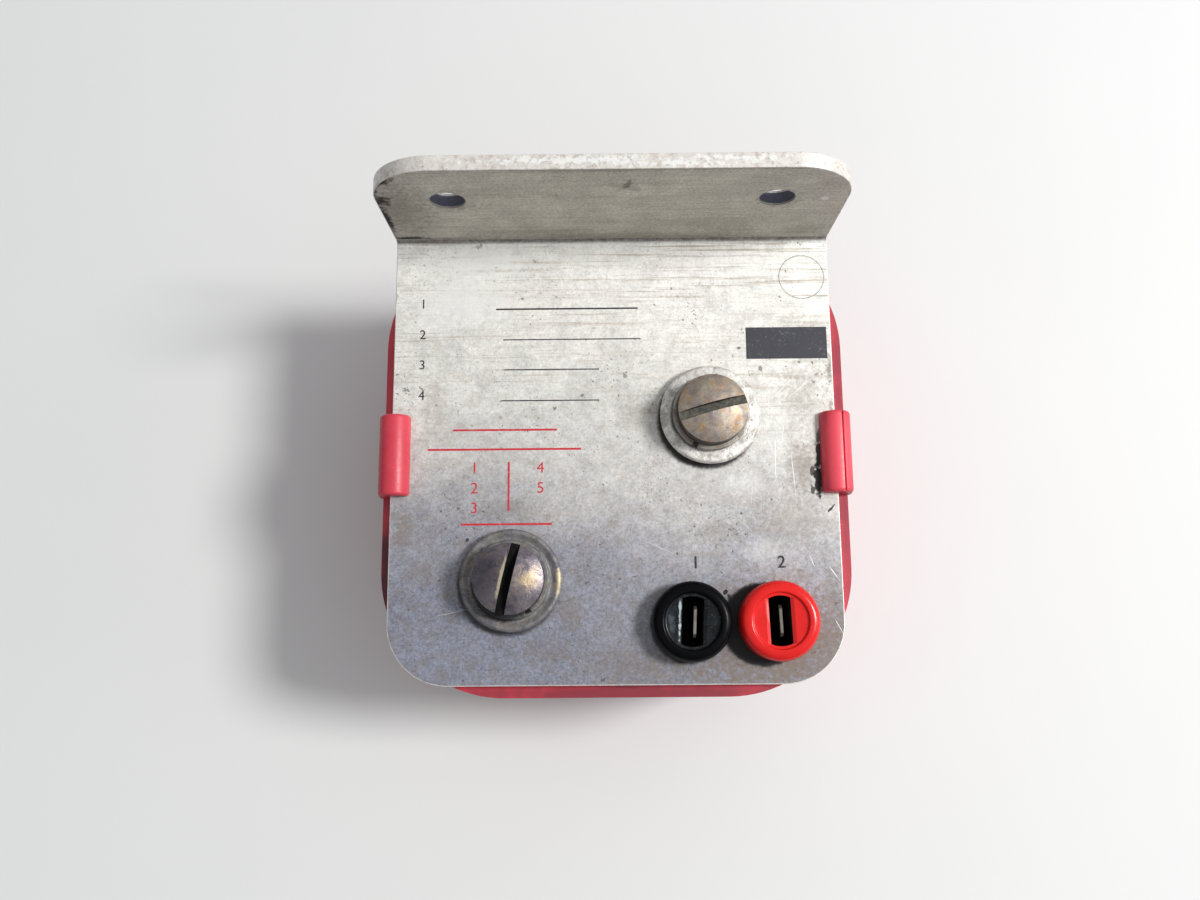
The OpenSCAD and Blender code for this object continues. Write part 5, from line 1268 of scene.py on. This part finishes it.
# A number as a thin film, this high, centred on its place
def numberFilm(x, y, text, high, weight=0.0):
    curve = bpy.data.curves.new("number", "FONT")
    curve.body = text
    curve.size = 1
    curve.offset = weight
    curve.resolution_u = 5
    holder = bpy.data.objects.new("number", curve)
    bpy.context.scene.collection.objects.link(holder)
    bpy.context.view_layer.update()
    graph = bpy.context.evaluated_depsgraph_get()
    mesh = bpy.data.meshes.new_from_object(holder.evaluated_get(graph))
    bpy.data.objects.remove(holder)
    bpy.data.curves.remove(curve)
    bm = bmesh.new()
    bm.from_mesh(mesh)
    bpy.data.meshes.remove(mesh)
    bmesh.ops.remove_doubles(bm, verts=bm.verts, dist=1e-5)
    faceOut(bm)
    across = [vert.co.x for vert in bm.verts]
    upward = [vert.co.y for vert in bm.verts]
    moveBy(bm, (-(min(across) + max(across)) / 2, -(min(upward) + max(upward)) / 2, 0))
    size = high * mm / (max(upward) - min(upward))
    bmesh.ops.scale(bm, vec=(size, size, 1), verts=bm.verts)
    drawOut(bm, (0, 0, printing["film"]))
    moveBy(bm, (x * mm, y * mm, front))
    return bm


def addPrinting():
    values = printing
    black = [ruledLine(*line) for line in values["lines"]]
    black += [numberFilm(*number, 1.5) for number in values["rowNumbers"]]
    black += [numberFilm(*number, 1.9, 0.012) for number in values["terminalNumbers"]]
    addPiece("black_printing", gather(black), [blackInk])
    red = [ruledLine(*line, values["redWidth"]) for line in values["redLines"]]
    red += [numberFilm(*number, 1.7) for number in values["redNumbers"]]
    dividerX, dividerTop, dividerEnd = values["divider"]
    half = values["redWidth"] / 2
    red.append(filmBar(dividerX - half, dividerX + half, dividerEnd, dividerTop))
    addPiece("red_printing", gather(red), [redInk])
    fromX, toX, topY, lowY = values["block"]
    circleX, circleY, radius = values["circle"]
    ring = turnedShape(
        [(radius * mm, 0), (radius * mm + values["circleWidth"], 0),
         (radius * mm + values["circleWidth"], values["film"]), (radius * mm, values["film"])], True)
    place(ring, (circleX * mm, circleY * mm, front))
    addPiece("grey_printing", filmBar(fromX, toX, lowY, topY), [greyInk])
    addPiece("faint_circle", ring, [faintInk])


addPrinting()
print("printing made")


# Finishes of the CAD nodes that stay
keptFinishes = (
    (brightWasher, (
        "upper_spacer", "lower_spacer", "upper_nut", "lower_nut", "chassis", "spring_clamp", "yoke_screws",
        "armature_rivets", "bracket_screws", "condenser_strap", "strap_screw")),
    (springFinish, ("output_retainer", "input_retainer")),
    (ironFinish, ("yoke", "core", "armature")),
    (phenolicFinish, ("bobbin", "bracket_strip", "bracket_bushings")),
    (copperFinish, ("winding", "coil_end")),
    (brassFinish, ("coil_tag", "contact_bracket", "contact_screw", "lock_nut")),
    (silverFinish, ("moving_contact", "fixed_contact")),
    (tinnedFinish, ("condenser",)),
    (wireFinishes["red_wire"], ("input_lead",)),
    (wireFinishes["black_wire"], ("output_lead",)),
    (wireFinishes["natural_wire"], ("condenser_lead",)))
for finish, names in keptFinishes:
    for name in names:
        nodes[name].material_slots[0].material = finish
print("kept nodes finished:", sum(len(names) for finish, names in keptFinishes))


# Floor, light and camera
stage = {
    "floorColour": (228, 228, 226), "bounceColour": (120, 124, 132), "floorSize": 4,
    "skySide": (0.7, 0.35, 0.62), "skyDark": 0, "skyBright": 0.62,
    "keyPlace": (0.55, 0.03, 0.6), "keySize": 0.2, "keyPower": 5.9,
    "sidePlace": (0.7, -0.05, 0.24), "sideSize": 0.3, "sidePower": 0.45,
    "fillPlace": (-0.55, -0.25, 0.55), "fillSize": 0.7, "fillPower": 0.35}


def floorFinish():
    material, tree, shader = startMaterial("floor")
    where = spots(tree)
    tone = remap(tree, noise(tree, where, 0.02, 5, 0.6), 0.3, 0.7, 0, 0.12)
    pale = blendColour(tree, tone, stage["floorColour"], (214, 214, 213))
    path = addNode(tree, "ShaderNodeLightPath", {}, {})
    kinds = ("Is Camera Ray", "Is Glossy Ray", "Is Transmission Ray")
    seen = strongest(tree, [path.outputs[kind] for kind in kinds])
    tree.links.new(blendColour(tree, seen, stage["bounceColour"], pale), shader.inputs["Base Color"])
    shader.inputs["Roughness"].default_value = 0.7
    shader.inputs["Specular IOR Level"].default_value = 0.2
    return material


floorMesh = bmesh.new()
bmesh.ops.create_grid(floorMesh, x_segments=1, y_segments=1, size=stage["floorSize"] / 2)
moveBy(floorMesh, (0, 0, cadBox[0][2]))
floorData = bpy.data.meshes.new("floor")
floorMesh.to_mesh(floorData)
floorMesh.free()
floorData.materials.append(floorFinish())
floor = bpy.data.objects.new("floor", floorData)
bpy.context.scene.collection.objects.link(floor)


def addLamp(name, spot, size, power):
    lamp = bpy.data.lights.new(name, "AREA")
    lamp.shape = "DISK"
    lamp.size = size
    lamp.energy = power
    holder = bpy.data.objects.new(name, lamp)
    holder.location = spot
    aim = Vector((0, -0.04, -0.02)) - Vector(spot)
    holder.rotation_euler = aim.to_track_quat("-Z", "Y").to_euler()
    bpy.context.scene.collection.objects.link(holder)


addLamp("key", stage["keyPlace"], stage["keySize"], stage["keyPower"])
addLamp("side", stage["sidePlace"], stage["sideSize"], stage["sidePower"])
addLamp("fill", stage["fillPlace"], stage["fillSize"], stage["fillPower"])


# Soft light all round, brighter from the side of the window
def makeWorld():
    world = bpy.data.worlds.new("studio")
    world.use_nodes = True
    tree = world.node_tree
    direction = addNode(tree, "ShaderNodeTexCoord", {}, {}).outputs["Generated"]
    values = {0: direction, 1: stage["skySide"]}
    facing = addNode(tree, "ShaderNodeVectorMath", {"operation": "DOT_PRODUCT"}, values).outputs["Value"]
    background = tree.nodes["Background"]
    background.inputs["Color"].default_value = (0.94, 0.96, 1, 1)
    strength = remap(tree, facing, -1, 1, stage["skyDark"], stage["skyBright"])
    tree.links.new(strength, background.inputs["Strength"])
    bpy.context.scene.world = world


makeWorld()

view = {"lens": 30.32, "place": (-1.47, -65.02, 140.04), "turn": (10.2019, 0.28995, -0.47462)}
cameraData = bpy.data.cameras.new("camera")
cameraData.lens = view["lens"]
cameraData.sensor_width = 36
cameraData.clip_start = 0.005
camera = bpy.data.objects.new("camera", cameraData)
turn = Vector([math.radians(part) for part in view["turn"]])
camera.rotation_mode = "QUATERNION"
camera.rotation_quaternion = Quaternion(turn.normalized(), turn.length)
camera.location = Vector(view["place"]) * mm
bpy.context.scene.collection.objects.link(camera)
bpy.context.scene.camera = camera
bpy.context.scene.view_settings.view_transform = "Standard"
print("stage set")
